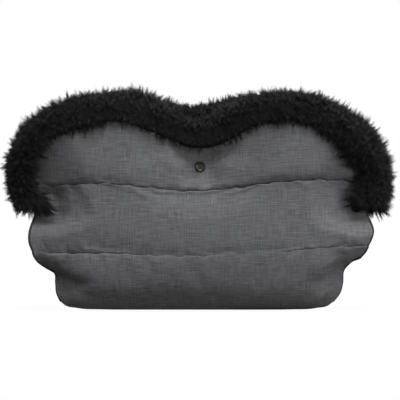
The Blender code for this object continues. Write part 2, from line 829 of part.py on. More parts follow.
def build_press_stud(name, x, height, front_hinge, back_hinge):
    """Cap and socket on the front panel, stud and rivet on the back panel."""
    inner = CLOSED_HALF_GAP - FIT
    outer = CLOSED_HALF_GAP + CLAMPED_THICKNESS + FIT
    turned(f"{name}_stud_cap", cap_profile(), place(x, -outer, height), FRONT, front_hinge)
    turned(f"{name}_stud_socket", socket_profile(), place(x, -inner, height), BACK, front_hinge)
    turned(f"{name}_stud_post", stud_profile(), place(x, inner, height), FRONT, back_hinge)
    turned(f"{name}_stud_rivet", rivet_profile(), place(x, outer, height), BACK, back_hinge)


def build_muff():
    """Every piece of the muff."""
    remove_everything()
    front_hinge = hinge_empty("front_fold", FRONT)
    back_hinge = hinge_empty("back_fold", BACK)
    tub = build_tub()
    for prefix, side, top_shares, hinge in (
        ("front", FRONT, FRONT_TOP_SHARES, front_hinge),
        ("back", BACK, BACK_TOP_SHARES, back_hinge),
    ):
        grid = build_panel(prefix, side, top_shares, hinge)
        build_fur(prefix, side, grid, hinge)
        build_slot_bindings(prefix, grid, hinge)
    build_notch_bindings(tub)
    build_seam_tapes(tub)
    for name, x, height, _pinch in stud_places():
        build_press_stud(name, x, height, front_hinge, back_hinge)


build_muff()
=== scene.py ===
"""The stroller hand muff as it looks: quilted melange cloth, long black pile and press studs.

Metres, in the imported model's frame: X along the handlebar, the front faces -Y, Z up. Heights are
measured up from the muff's lowest point, as in the part's own source, and shifted when points are
made.
"""
import math

import bmesh
import bpy
import numpy as np
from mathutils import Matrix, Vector


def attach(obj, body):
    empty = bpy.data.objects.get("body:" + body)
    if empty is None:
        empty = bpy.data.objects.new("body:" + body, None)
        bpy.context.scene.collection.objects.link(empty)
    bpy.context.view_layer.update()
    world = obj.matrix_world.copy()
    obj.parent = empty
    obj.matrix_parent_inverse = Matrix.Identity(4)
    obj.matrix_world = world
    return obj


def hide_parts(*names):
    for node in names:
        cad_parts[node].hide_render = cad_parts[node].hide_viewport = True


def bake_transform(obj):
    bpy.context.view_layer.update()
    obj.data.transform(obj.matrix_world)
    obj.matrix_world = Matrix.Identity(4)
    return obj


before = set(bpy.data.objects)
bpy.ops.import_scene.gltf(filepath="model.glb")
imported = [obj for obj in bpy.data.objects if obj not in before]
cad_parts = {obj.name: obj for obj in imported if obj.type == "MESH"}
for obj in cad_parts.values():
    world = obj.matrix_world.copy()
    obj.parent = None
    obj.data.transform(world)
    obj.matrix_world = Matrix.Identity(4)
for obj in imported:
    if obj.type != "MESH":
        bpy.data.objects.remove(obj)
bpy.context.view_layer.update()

# The part's own sizes
HALF_WIDTH = 0.2435
LOWER_SEAM_HEIGHT = 0.0795
UPPER_SEAM_HEIGHT = 0.1747
LOBE_HEIGHT = 0.2705
LOBE_RISE = LOBE_HEIGHT - UPPER_SEAM_HEIGHT
NOTCH_HEIGHT = LOWER_SEAM_HEIGHT * 0.68
CAVITY_HALF_GAP = 0.027
MOUTH_HALF_GAP = 0.033
TUB_END_HALF_GAP = 0.0015
TUB_END_TAPER = 0.070
FABRIC = 0.0008
FIT = 0.0003
MIDDLE_PUFF = 0.018
TOP_PUFF = 0.017
TUB_PUFF = 0.019
EDGE_MARGIN = 0.004
SEAM_MARGIN = 0.0025
SEAM_THICKNESS = 2.0 * FABRIC + FIT
CAP_RADIUS = 0.0075
CAP_HEIGHT = 0.0025
SOCKET_RADIUS = 0.0062
SOCKET_HEIGHT = 0.0038
SOCKET_FLOOR = 0.0008
STUD_RADIUS = 0.0060
STUD_BASE = 0.0010
KNOB_RADIUS = 0.0032
KNOB_HEIGHT = 0.0034
RIVET_RADIUS = 0.0060
RIVET_HEIGHT = 0.0012
PRONG_RADIUS = 0.0020
CLOSED_HALF_GAP = (SOCKET_HEIGHT + STUD_BASE + 3.0 * FIT) / 2.0
SIDE_STUD_HEIGHT = LOWER_SEAM_HEIGHT + (UPPER_SEAM_HEIGHT - LOWER_SEAM_HEIGHT) * 0.6985
BAR_RADIUS = 0.015
BAR_CLEARANCE = 0.008
BAR_HEIGHT = SIDE_STUD_HEIGHT - CAP_RADIUS - BAR_RADIUS - BAR_CLEARANCE
CENTRE_STUD_X = -0.0014
CENTRE_STUD_HEIGHT = UPPER_SEAM_HEIGHT + LOBE_RISE * 0.590 * 0.515
PAD_HALF_SIZE = 0.0095
CLAMPED_THICKNESS = 0.0034
DIMPLE_REACH = 0.030
SIDE_PINCH = (0.070, 0.032, 0.095)
CENTRE_PINCH = (0.110, 0.070, 0.140)
FUR_HALF_WIDTH = 0.020
FUR_HALF_DEPTH = 0.017
FUR_FORWARD = 0.004
BINDING_RADIUS = 0.0018
BINDING_INSET = 0.3 * BINDING_RADIUS
END_SEAM_RADIUS = 0.0022
END_SEAM_INSET = 0.0005
PRONG_GRIP = 0.0016

# Side edges of the panels, as shares of HALF_WIDTH, by share of the way up each channel
MIDDLE_LEFT = (
    (0.0, -0.975), (0.13, -0.995), (0.31, -0.997), (0.50, -0.980), (0.62, -0.967),
    (0.80, -0.969), (1.0, -0.983),
)
MIDDLE_RIGHT = (
    (0.0, 0.966), (0.13, 0.988), (0.25, 0.998), (0.40, 0.986), (0.52, 0.966), (0.60, 0.962),
    (0.80, 0.962), (1.0, 0.962),
)
TOP_LEFT = ((0.0, -0.983), (0.33, -0.993), (0.70, -0.980), (0.93, -0.956), (1.0, -0.948))
TOP_RIGHT = ((0.0, 0.962), (0.33, 0.962), (0.70, 0.930), (0.93, 0.892), (1.0, 0.881))
# The side edges beside the two side studs, and how fast the top corners' bulge fades inwards
STUD_EDGES = (-0.969, 0.962)
CORNER_FADE = 4

# Quilting seams as (x, height)
LOWER_SEAM = (
    (-0.245, 0.0832), (-0.217, 0.0817), (-0.115, 0.0809), (-0.051, 0.0776), (-0.001, 0.0781),
    (0.055, 0.0809), (0.112, 0.0838), (0.141, 0.0868), (0.180, 0.0900), (0.212, 0.0915),
    (0.245, 0.0925),
)
UPPER_SEAM = (
    (-0.245, 0.1733), (-0.210, 0.1755), (-0.158, 0.1780), (-0.143, 0.1787), (-0.101, 0.1755),
    (-0.065, 0.1718), (-0.023, 0.1682), (0.013, 0.1692), (0.055, 0.1730), (0.084, 0.1776),
    (0.119, 0.1811), (0.183, 0.1834), (0.214, 0.1811), (0.245, 0.1770),
)
# How far the back's seams follow the front's, and the waves that puckers give a seam: how high, how
# close together, and how often they count its phase
BACK_SEAM_FOLLOW = 0.45
SEAM_WAVES = ((0.0006, 210.0, 1.0), (0.0004, 371.0, 2.0))
SEAM_PHASE = 900.0
# Top edges: x as a share of HALF_WIDTH, then the front's and the back's height between the upper
# seam and the lobe's top
TOP_EDGES = (
    (-0.948, 0.548, 0.548), (-0.915, 0.651, 0.651), (-0.846, 0.785, 0.785), (-0.723, 0.904, 0.904),
    (-0.566, 0.963, 0.963), (-0.397, 0.926, 0.950), (-0.222, 0.756, 0.880), (-0.045, 0.593, 0.825),
    (0.033, 0.590, 0.825), (0.181, 0.748, 0.872), (0.327, 0.926, 0.945), (0.490, 1.000, 1.000),
    (0.641, 0.956, 0.956), (0.770, 0.785, 0.785), (0.846, 0.622, 0.622), (0.881, 0.533, 0.533),
)

# Tub, row by row from the seam to the foot
TUB_LEFT = (-0.975, -0.972, -0.952, -0.916, -0.862, -0.848, -0.842, -0.820)
TUB_RIGHT = (0.966, 0.963, 0.940, 0.862, 0.832, 0.823, 0.806, 0.768)
TUB_NARROWING = (0.0, 0.02, 0.25, 0.65, 1.0, 1.0, 1.0, 1.0)
TUB_STRAIGHT = (0.35, 0.75)
TUB_ARC = (35.0, 65.0)
ABOVE_NOTCH = (0.0, 0.10, 0.44, 0.73, 1.0)
BELOW_NOTCH = (0.70, 0.44, 0.22)
# Share of the tub's padding under its cavity, and of the way down where its seam's shape fades
FOOT_PUFF = 0.85
SEAM_FADE = 0.75
# The tub's padding by share of the way from seam to foot, at its left and at its right
TUB_PADDING = (
    (0.0, (0.0, 0.0)), (0.007, (0.62, 0.84)), (0.03, (0.70, 0.85)), (0.08, (0.69, 0.82)),
    (0.16, (0.60, 0.75)), (0.26, (0.46, 0.64)), (0.36, (0.32, 0.52)), (0.46, (0.20, 0.42)),
    (0.577, (0.11, 0.36)), (0.664, (0.07, 0.40)), (0.728, (0.07, 0.50)), (0.80, (0.13, 0.68)),
    (0.868, (0.30, 0.82)), (0.93, (0.55, 0.86)), (1.0, (0.85, 0.85)),
)
# Where the left section starts to turn into the right one, and over what width
TUB_TURN = (-0.05, 0.25)
CHANNEL_TURN = (-0.20, 0.32)
# A channel's section by share of the way up it: its padding and how far the cloth has sagged, at
# its left and then at its right
MIDDLE_CHANNEL = (
    (0.0, (0.0, 0.0, 0.0, 0.0)), (0.006, (0.30, 0.0016, 0.70, 0.0008)),
    (0.02, (0.40, 0.0016, 0.77, 0.0006)), (0.05, (0.55, 0.0014, 0.86, 0.0004)),
    (0.09, (0.70, 0.0011, 0.94, 0.0002)), (0.14, (0.82, 0.0007, 0.98, 0.0)),
    (0.22, (0.93, 0.0003, 1.0, 0.0)), (0.34, (0.99, 0.0, 1.0, 0.0)), (0.50, (1.0, 0.0, 1.0, 0.0)),
    (0.88, (1.0, 0.0, 1.0, 0.0)), (0.95, (0.995, 0.0, 0.995, 0.0)),
    (0.993, (0.975, -0.0012, 0.975, -0.0012)), (1.0, (0.0, 0.0, 0.0, 0.0)),
)
TOP_CHANNEL = (
    (0.0, (0.0, 0.0, 0.0, 0.0)), (0.006, (0.22, 0.0004, 0.06, 0.0)),
    (0.02, (0.34, 0.0008, 0.18, 0.0004)), (0.05, (0.54, 0.0010, 0.43, 0.0008)),
    (0.09, (0.73, 0.0009, 0.69, 0.0009)), (0.14, (0.87, 0.0005, 0.87, 0.0005)),
    (0.20, (0.95, 0.0002, 0.95, 0.0002)), (0.30, (1.0, 0.0, 1.0, 0.0)),
    (0.70, (0.98, 0.0, 0.98, 0.0)), (0.85, (0.94, 0.0, 0.94, 0.0)), (0.95, (0.88, 0.0, 0.88, 0.0)),
    (0.985, (0.80, 0.0, 0.80, 0.0)), (1.0, (0.0, 0.0, 0.0, 0.0)),
)
# The sag's gathers: how strong, how close together and where they start
GATHERS = ((0.16, 190.0, 1.3), (0.12, 317.0, 0.0), (0.10, 83.0, 0.0))
# By distance in from a side edge: lift of the tub's foot, and how much of the padding is there
EDGE_DISTANCES = (0.0, 0.004, 0.023, 0.060, 0.100)
FOOT_LIFT = (0.14, 0.095, 0.03, 0.005, 0.0)
EDGE_PUFF = (0.0, 0.16, 0.70, 0.95, 1.0)
# How thick the cloth is, past its clamped thickness, where it sags in full
SAG_EASE = 0.003

FRONT = -1
TUB = 0
BACK = 1
PREFIXES = {FRONT: "front", TUB: "tub", BACK: "back"}
BODIES = {FRONT: "front_panel", TUB: "tub", BACK: "back_panel"}
WADDINGS = {
    FRONT: ("front_middle_wadding", "front_top_wadding"),
    TUB: ("tub_wadding",),
    BACK: ("back_middle_wadding", "back_top_wadding"),
}
COLUMNS = 150
MIDDLE_ROWS = 36
TOP_ROWS = 36
TUB_ROWS = 34
# How much closer together the columns lie at the side edges, and the rows at the seams
EDGE_CROWDING = 0.055
SEAM_CROWDING = 0.125
TUB_CROWDING = 1.4

# Settling of the padded cloth: how much longer each shell is cut than its shape, and its seed
SETTLING = {FRONT: (0.012, 2), TUB: (0.006, 11), BACK: (0.012, 4)}
CLOTH_PHYSICS = {
    "quality": 6,
    "mass": 0.25,
    "tension_stiffness": 20.0,
    "compression_stiffness": 20.0,
    "shear_stiffness": 8.0,
    "bending_stiffness": 2.5,
    "use_pressure": True,
    "uniform_pressure_force": 3.0,
    "vertex_group_mass": "sewn",
}
UNEVENNESS = 0.0002
SETTLING_FRAMES = 22
MOST_SWELL = 0.0028
# How much of its padding each shell's hidden side reaches into
HIDDEN_SHARE = 0.35
# Folds of the cloth sharper than this are creased at a seam
SEAM_ANGLE = math.radians(58.0)
# Added to lengths that divide, so that none is zero
TINY = 1e-9


# Curves and grids


def curve(knots, values, at, steady=False):
    """A smooth curve through values at rising knots; a steady one never swings past them."""
    knots = np.asarray(knots, float)
    values = np.asarray(values, float)
    flat = values.reshape(len(knots), -1)
    steps = np.diff(knots)[:, None]
    slopes = np.diff(flat, axis=0) / steps
    before, after = slopes[:-1], slopes[1:]
    if steady:
        product = before * after
        total = np.where(product > 0, before + after, 1.0)
        inner = np.where(product > 0, 2.0 * product / total, 0.0)
    else:
        inner = (before * steps[1:] + after * steps[:-1]) / (steps[1:] + steps[:-1])
    tangents = np.vstack([slopes[:1], inner, slopes[-1:]])
    at = np.clip(np.asarray(at, float), knots[0], knots[-1])
    index = np.clip(np.searchsorted(knots, at, side="right") - 1, 0, len(knots) - 2)
    width = steps[index]
    t = (at - knots[index])[..., None] / width
    result = (
        (1 + 2 * t) * (1 - t) ** 2 * flat[index]
        + t * (1 - t) ** 2 * width * tangents[index]
        + t * t * (3 - 2 * t) * flat[index + 1]
        + t * t * (t - 1) * width * tangents[index + 1]
    )
    return result.reshape(np.shape(at) + values.shape[1:])


def table(pairs, at, steady=False):
    """Read a table of (place, value) pairs."""
    places, values = zip(*pairs)
    return curve(places, values, at, steady)


def smooth(share):
    bounded = np.clip(share, 0.0, 1.0)
    return bounded * bounded * (3.0 - 2.0 * bounded)


def mix(first, second, share):
    return first + (second - first) * share


def crowded(count, crowding):
    """Shares from 0 to 1, closer together towards both ends."""
    share = np.linspace(0.0, 1.0, count)
    return share - crowding * np.sin(2.0 * np.pi * share)


def unit(vectors, least=0.0):
    return vectors / (np.linalg.norm(vectors, axis=-1, keepdims=True) + least)


def run_along(path):
    """The length along a path at each of its points."""
    steps = np.linalg.norm(np.diff(path, axis=0), axis=1)
    return np.concatenate([[0.0], np.cumsum(steps)])


def interpolated(at, knots, values):
    """Values, or points, read between knots along straight lines."""
    if values.ndim == 1:
        return np.interp(at, knots, values)
    return np.stack([np.interp(at, knots, part) for part in values.T], axis=-1)


def stud_places():
    """Each press stud: name, x, height, and its pinch along X, downwards and upwards."""
    left, right = (HALF_WIDTH * edge for edge in STUD_EDGES)
    left = left + EDGE_MARGIN + PAD_HALF_SIZE
    right = right - EDGE_MARGIN - PAD_HALF_SIZE
    return (
        ("left", left, SIDE_STUD_HEIGHT, SIDE_PINCH),
        ("centre", CENTRE_STUD_X, CENTRE_STUD_HEIGHT, CENTRE_PINCH),
        ("right", right, SIDE_STUD_HEIGHT, SIDE_PINCH),
    )


def beyond_pad(distance):
    return np.maximum(np.abs(distance) - PAD_HALF_SIZE, 0.0)


def half_gap(x, height):
    """Half the space between the linings, closed at each press stud."""
    openness = 1.0
    for _name, stud_x, stud_height, (reach, down, up) in stud_places():
        rise = height - stud_height
        along = beyond_pad(rise) / np.where(rise > 0, up, down)
        openness = openness * smooth(np.hypot(beyond_pad(x - stud_x) / reach, along))
    climb = smooth((height - UPPER_SEAM_HEIGHT) / LOBE_RISE)
    return mix(CLOSED_HALF_GAP, mix(CAVITY_HALF_GAP, MOUTH_HALF_GAP, climb), openness)


def dimpled(x, height, thickness):
    """The padding's thickness, drawn in round each press stud."""
    share = 1.0
    for _name, stud_x, stud_height, _pinch in stud_places():
        reach = np.hypot(beyond_pad(x - stud_x), beyond_pad(height - stud_height))
        share = share * smooth(reach / DIMPLE_REACH)
    drawn = mix(CLAMPED_THICKNESS, thickness, share)
    return np.where(thickness > CLAMPED_THICKNESS, drawn, thickness)


def turned(x, turn):
    """How far the way from left to right has turned one section into the other."""
    start, width = turn
    return smooth((x - start) / width)


def channel(section, share, x):
    """A channel's padding and sag between two seams, gathered a little more in some places."""
    left_padding, left_sag, right_padding, right_sag = table(section, share, steady=True)
    rightness = turned(x, CHANNEL_TURN)
    gather = 1.0
    for strength, closeness, start in GATHERS:
        gather = gather + strength * np.sin(x * closeness + start)
    return mix(left_padding, right_padding, rightness), mix(left_sag, right_sag, rightness) * gather


def seam_height(line, nominal, x, side):
    """Height of a quilting seam, which wanders more on the front and is drawn up by its puckers."""
    phase = line[0][1] * SEAM_PHASE + side
    wobble = sum(
        size * np.sin(x * closeness + times * phase) for size, closeness, times in SEAM_WAVES
    )
    if side == FRONT:
        return table(line, x) + wobble
    return mix(nominal, table(line, x), BACK_SEAM_FOLLOW) + wobble


def edge_distance(x, left, right):
    return np.minimum(x - left, right - x)


def top_curve(side, shares):
    """The panel's top edge as x and height, by share of the way across."""
    pad = EDGE_MARGIN + 2.0 * PAD_HALF_SIZE
    left = HALF_WIDTH * MIDDLE_LEFT[-1][1]
    right = HALF_WIDTH * MIDDLE_RIGHT[-1][1]
    inner = np.linspace(0.0, 1.0, len(TOP_EDGES) // 2 - 2)
    columns = np.concatenate([
        [left, left + EDGE_MARGIN],
        mix(left + pad, CENTRE_STUD_X - PAD_HALF_SIZE, inner),
        mix(CENTRE_STUD_X + PAD_HALF_SIZE, right - pad, inner),
        [right - EDGE_MARGIN, right],
    ])
    knots = (columns - left) / (right - left)
    x, front, back = np.array(TOP_EDGES).T
    height = mix(UPPER_SEAM_HEIGHT, LOBE_HEIGHT, front if side == FRONT else back)
    return curve(knots, HALF_WIDTH * x, shares), curve(knots, height, shares)


def panel_grid(side):
    """One panel's inner points, outward directions, thickness and sag, from the lower seam up."""
    shares = crowded(COLUMNS, EDGE_CROWDING)
    rows = []
    for up in crowded(MIDDLE_ROWS, SEAM_CROWDING):
        left = HALF_WIDTH * table(MIDDLE_LEFT, up)
        right = HALF_WIDTH * table(MIDDLE_RIGHT, up)
        x = mix(left, right, shares)
        low = seam_height(LOWER_SEAM, LOWER_SEAM_HEIGHT, x, side)
        high = seam_height(UPPER_SEAM, UPPER_SEAM_HEIGHT, x, side)
        padding, sag = channel(MIDDLE_CHANNEL, up, x)
        puff = (MIDDLE_PUFF - SEAM_THICKNESS) * padding
        rows.append((x, mix(low, high, up), puff, edge_distance(x, left, right), sag))
    seam_x, seam = rows[-1][:2]
    edge_x, edge_height = top_curve(side, shares)
    for up in crowded(TOP_ROWS, SEAM_CROWDING)[1:]:
        x = mix(seam_x, edge_x, up)
        for corners, column, near in ((TOP_LEFT, 0, 0.0), (TOP_RIGHT, -1, 1.0)):
            bulge = HALF_WIDTH * table(corners, up) - x[column]
            x = x + bulge * (1.0 - np.abs(shares - near)) ** CORNER_FADE
        height = mix(seam, edge_height, up)
        padding, sag = channel(TOP_CHANNEL, up, x)
        puff = (TOP_PUFF - SEAM_THICKNESS) * padding
        rows.append((x, height, puff, edge_distance(x, x[0], x[-1]), sag))
    x, height, puff, from_edge, sag = (np.array(values) for values in zip(*rows))
    full = curve(EDGE_DISTANCES, EDGE_PUFF, from_edge)
    thickness = dimpled(x, height, SEAM_THICKNESS + puff * full)
    sag = sag * full ** 2 * smooth((thickness - CLAMPED_THICKNESS) / SAG_EASE)
    points = np.stack([x, side * half_gap(x, height), height - BAR_HEIGHT], axis=-1)
    outward = np.zeros_like(points)
    outward[..., 1] = side
    return {"points": points, "outward": outward, "thickness": thickness, "sag": sag}


def tub_rows(shares):
    """The tub's eight sections as x, y, height and outward direction, from the seam to the foot."""
    rows = []
    start = LOWER_SEAM_HEIGHT
    for row, (left_share, right_share) in enumerate(zip(TUB_LEFT, TUB_RIGHT)):
        left, right = HALF_WIDTH * left_share, HALF_WIDTH * right_share
        x = mix(left, right, shares)
        from_end = edge_distance(x, left, right)
        radius = mix(TUB_END_HALF_GAP, CAVITY_HALF_GAP, smooth(from_end / TUB_END_TAPER))
        full = (TUB_PUFF - SEAM_THICKNESS) * curve(EDGE_DISTANCES, EDGE_PUFF, from_end)
        lift = LOWER_SEAM_HEIGHT * curve(EDGE_DISTANCES, FOOT_LIFT, from_end)
        foot = lift + SEAM_THICKNESS + full * FOOT_PUFF
        arc_centre = foot + radius
        straight = start - arc_centre
        middle = [start + 0.0 * x, start - SEAM_MARGIN + 0.0 * x]
        middle += [start - straight * share for share in TUB_STRAIGHT]
        middle += [arc_centre]
        middle += [arc_centre - radius * math.sin(math.radians(angle)) for angle in TUB_ARC]
        middle += [foot]
        ends = [mix(start, NOTCH_HEIGHT, share) for share in ABOVE_NOTCH]
        ends += [NOTCH_HEIGHT * share for share in BELOW_NOTCH]
        height = mix(ends[row], middle[row], smooth(from_end / TUB_END_TAPER))
        height = middle[1] if row == 1 else np.maximum(height, foot)
        drop = np.clip((arc_centre - height) / radius, 0.0, 1.0)
        if row == len(TUB_LEFT) - 1:
            height, drop = foot, 1.0 + 0.0 * x
        reach = np.sqrt(1.0 - drop * drop)
        width = mix(CAVITY_HALF_GAP, radius, TUB_NARROWING[row])
        rows.append(np.stack([x, width * reach, height, reach, -drop, full], axis=-1))
    return np.array(rows)


def tub_grid():
    """The tub from the front seam, down under the fold and up to the back seam."""
    shares = crowded(COLUMNS, EDGE_CROWDING)
    rows = tub_rows(shares)
    knots = run_along(rows[:, COLUMNS // 2, 1:3])
    knots /= knots[-1]
    places = np.linspace(0.0, 1.0, TUB_ROWS) ** TUB_CROWDING
    fine = curve(knots, rows, places)
    halves = []
    for side in (FRONT, BACK):
        x, y, height, reach, drop, full = (fine[..., index] for index in range(6))
        seam = seam_height(LOWER_SEAM, LOWER_SEAM_HEIGHT, x, side) - LOWER_SEAM_HEIGHT
        fade = (1.0 - smooth(places / SEAM_FADE))[:, None]
        padding = table(TUB_PADDING, places, steady=True)
        padding = mix(padding[:, :1], padding[:, 1:], turned(x, TUB_TURN))
        thickness = SEAM_THICKNESS + full * padding
        points = np.stack([x, side * y, height + seam * fade - BAR_HEIGHT], axis=-1)
        outward = unit(np.stack([0.0 * x, side * reach, drop], axis=-1))
        halves.append((points, outward, thickness))
    joined = [np.concatenate([front, back[-2::-1]]) for front, back in zip(*halves)]
    return dict(zip(("points", "outward", "thickness"), joined), sag=0.0)


def offset(grid, distance):
    """The grid's points moved out by a distance."""
    return grid["points"] + grid["outward"] * np.asarray(distance)[..., None]


def middle_points(grid):
    """Points half way through the cloth's thickness."""
    return offset(grid, grid["thickness"] / 2.0)


# Mesh making


def linked(name, data, place=(0.0, 0.0, 0.0)):
    """A new object in the scene."""
    obj = bpy.data.objects.new(name, data)
    obj.location = place
    bpy.context.scene.collection.objects.link(obj)
    return obj


def mesh_object(name, verts, faces, material, uvs=None):
    """Link a mesh of vertices and faces, given as arrays of the same corner count."""
    mesh = bpy.data.meshes.new(name)
    mesh.vertices.add(len(verts))
    mesh.vertices.foreach_set("co", np.asarray(verts, np.float32).ravel())
    loops = np.concatenate([np.asarray(group, np.int32).ravel() for group in faces])
    counts = np.concatenate([np.full(len(group), np.shape(group)[1]) for group in faces])
    mesh.loops.add(len(loops))
    mesh.loops.foreach_set("vertex_index", loops)
    mesh.polygons.add(len(counts))
    mesh.polygons.foreach_set("loop_start", np.cumsum(counts) - counts)
    if uvs is not None:
        layer = mesh.uv_layers.new(name="cloth")
        layer.data.foreach_set("uv", np.asarray(uvs, np.float32)[loops].ravel())
    mesh.update(calc_edges=True)
    mesh.validate()
    mesh.shade_smooth()
    mesh.materials.append(material)
    return linked(name, mesh)


def face_out(obj):
    """Turn every face outwards."""
    made = bmesh.new()
    made.from_mesh(obj.data)
    bmesh.ops.recalc_face_normals(made, faces=made.faces)
    made.to_mesh(obj.data)
    made.free()
    return obj


def grid_faces(rows, columns, start=0, flip=False):
    """Quads over a grid of vertices."""
    index = start + np.arange(rows * columns).reshape(rows, columns)
    quads = np.stack([index[:-1, :-1], index[:-1, 1:], index[1:, 1:], index[1:, :-1]], axis=-1)
    quads = quads.reshape(-1, 4)
    return quads[:, ::-1] if flip else quads


def rim(rows, columns):
    """The boundary of a grid, in order."""
    index = np.arange(rows * columns).reshape(rows, columns)
    return np.concatenate([index[0, :-1], index[:-1, -1], index[-1, :0:-1], index[:0:-1, 0]])


def cloth_uvs(points):
    """Metres along and across the cloth at each point of a grid, with its yarns level."""
    step = np.diff(points, axis=0)
    run = np.cumsum(np.linalg.norm(step, axis=-1).mean(axis=1))
    run = np.concatenate([[0.0], run])[:, None]
    height = points[..., 2] - points[..., 2].mean(axis=1, keepdims=True)
    climb = np.gradient(points[..., 2].mean(axis=1)) / np.gradient(run[:, 0])
    return np.stack([points[..., 0], run + height * climb[:, None]], axis=-1).reshape(-1, 2)


def closed_sheet(name, inner, outer, material, uvs=None):
    """A closed pad or sheet between two grids of points."""
    rows, columns = inner.shape[:2]
    count = rows * columns
    verts = np.concatenate([inner.reshape(-1, 3), outer.reshape(-1, 3)])
    edge = rim(rows, columns)
    after = np.roll(edge, -1)
    walls = np.stack([edge, after, after + count, edge + count], axis=-1)
    faces = [
        grid_faces(rows, columns),
        grid_faces(rows, columns, count, flip=True),
        walls[:, ::-1],
    ]
    uvs = cloth_uvs(outer) if uvs is None else uvs
    return face_out(mesh_object(name, verts, faces, material, np.concatenate([uvs, uvs])))


def capped_rings(name, rings, material, uvs=None):
    """A closed tube through rings of points."""
    rows, sides = rings.shape[:2]
    index = np.arange(rows * sides).reshape(rows, sides)
    after = np.roll(index, -1, axis=1)
    quads = np.stack([index[:-1], after[:-1], after[1:], index[1:]], axis=-1).reshape(-1, 4)
    faces = [quads, index[:1, ::-1], index[-1:]]
    return face_out(mesh_object(name, rings.reshape(-1, 3), faces, material, uvs))


def tube(name, path, radius, material, sides=10):
    """A round closed tube along a path, with its length and turn as its cloth coordinates."""
    along = unit(np.gradient(path, axis=0))
    across = unit(np.cross(along, np.tile([0.0, 1.0, 0.0], (len(path), 1))))
    third = np.cross(along, across)
    angles = 2.0 * np.pi * np.arange(sides) / sides
    ring = (
        across[:, None, :] * np.cos(angles)[None, :, None]
        + third[:, None, :] * np.sin(angles)[None, :, None]
    )
    turn = 2.0 * np.abs(np.arange(sides) / sides - 0.5) * np.pi * radius
    uvs = np.stack(np.broadcast_arrays(run_along(path)[:, None], turn[None, :]), axis=-1)
    return capped_rings(name, path[:, None, :] + ring * radius, material, uvs.reshape(-1, 2))


# Materials


# Base colors
MELANGE_GREY = (0.122, 0.123, 0.128)
FLEECE_GREY = (0.045, 0.045, 0.048)
TAPE_GREY = (0.030, 0.030, 0.032)
FUR_BLACK = (0.009, 0.009, 0.010)
STUD_BROWN = (0.036, 0.032, 0.026, 1.0)
# The black painted on a stud's rim as shade
STUD_RIM_SHADE_BLACK = (0.014, 0.013, 0.012, 1.0)
# Where the painted shade on a stud's cap rim starts and where it is full black, as shares of its
# radius
STUD_RIM = (0.74, 0.96)
# How close together the cloth's yarns and the tape's ribs lie
YARNS = 330.0
RIBS = 300.0


class Nodes:
    """A node tree, with short ways to add and link its nodes."""

    def __init__(self, tree):
        self.tree = tree

    def add(self, kind, inputs=None, **settings):
        node = self.tree.nodes.new(kind)
        for key, value in settings.items():
            setattr(node, key, value)
        for key, value in (inputs or {}).items():
            if isinstance(value, bpy.types.NodeSocket):
                self.tree.links.new(value, node.inputs[key])
            else:
                node.inputs[key].default_value = value
        return node

    def link(self, source, target):
        self.tree.links.new(source, target)

    def mapped(self, vector, scale):
        node = self.add("ShaderNodeMapping", {"Vector": vector, "Scale": scale})
        return node.outputs["Vector"]

    def noise(self, vector, detail=2.0, roughness=0.5):
        node = self.add(
            "ShaderNodeTexNoise",
            {"Vector": vector, "Scale": 1.0, "Detail": detail, "Roughness": roughness},
        )
        return node.outputs["Fac"]

    def cloth(self, along=1.0, across=1.0):
        """The cloth coordinates in metres, scaled along and across."""
        uv = self.add("ShaderNodeUVMap", uv_map="cloth").outputs["UV"]
        return self.mapped(uv, (along, across, 1.0))

    def cloth_noise(self, along, across, detail=2.0, roughness=0.5):
        return self.noise(self.cloth(along, across), detail, roughness)

    def solid_noise(self, scale, detail):
        coords = self.add("ShaderNodeTexCoord").outputs["Object"]
        return self.noise(self.mapped(coords, (scale, scale, scale)), detail)

    def maths(self, operation, first, *others):
        for value in others:
            first = self.add("ShaderNodeMath", {0: first, 1: value}, operation=operation).outputs[0]
        return first

    def scaled(self, value, low, high, start=0.0, end=1.0):
        """A value that runs from start to end, brought between two others."""
        node = self.add("ShaderNodeMapRange", {
            "Value": value, "From Min": start, "From Max": end, "To Min": low, "To Max": high,
        })
        return node.outputs["Result"]

    def ribs(self, scale, direction):
        node = self.add(
            "ShaderNodeTexWave",
            {"Vector": self.cloth(), "Scale": scale, "Distortion": 0.6, "Detail": 1.0},
            wave_type="BANDS",
            bands_direction=direction,
        )
        return node.outputs["Fac"]

    def vector_maths(self, operation, output, *values):
        node = self.add("ShaderNodeVectorMath", dict(enumerate(values)), operation=operation)
        return node.outputs[output]


class Surface(Nodes):
    """A material, its plain shader settings and its nodes."""

    def __init__(self, name, roughness, specular=0.3, metallic=0.0, sheen=0.0):
        self.material = bpy.data.materials.new(name)
        self.material.use_nodes = True
        super().__init__(self.material.node_tree)
        self.shader = self.tree.nodes["Principled BSDF"]
        for key, value in (
            ("Roughness", roughness), ("Specular IOR Level", specular), ("Metallic", metallic),
            ("Sheen Weight", sheen), ("Sheen Roughness", 0.45),
        ):
            self.shader.inputs[key].default_value = value

    def paint(self, color, factor):
        """The base color, multiplied by a varying factor."""
        tinted = self.vector_maths("MULTIPLY", "Vector", color, factor)
        self.link(tinted, self.shader.inputs["Base Color"])

    def bump(self, height, distance, strength):
        node = self.add(
            "ShaderNodeBump", {"Height": height, "Distance": distance, "Strength": strength}
        )
        self.link(node.outputs["Normal"], self.shader.inputs["Normal"])


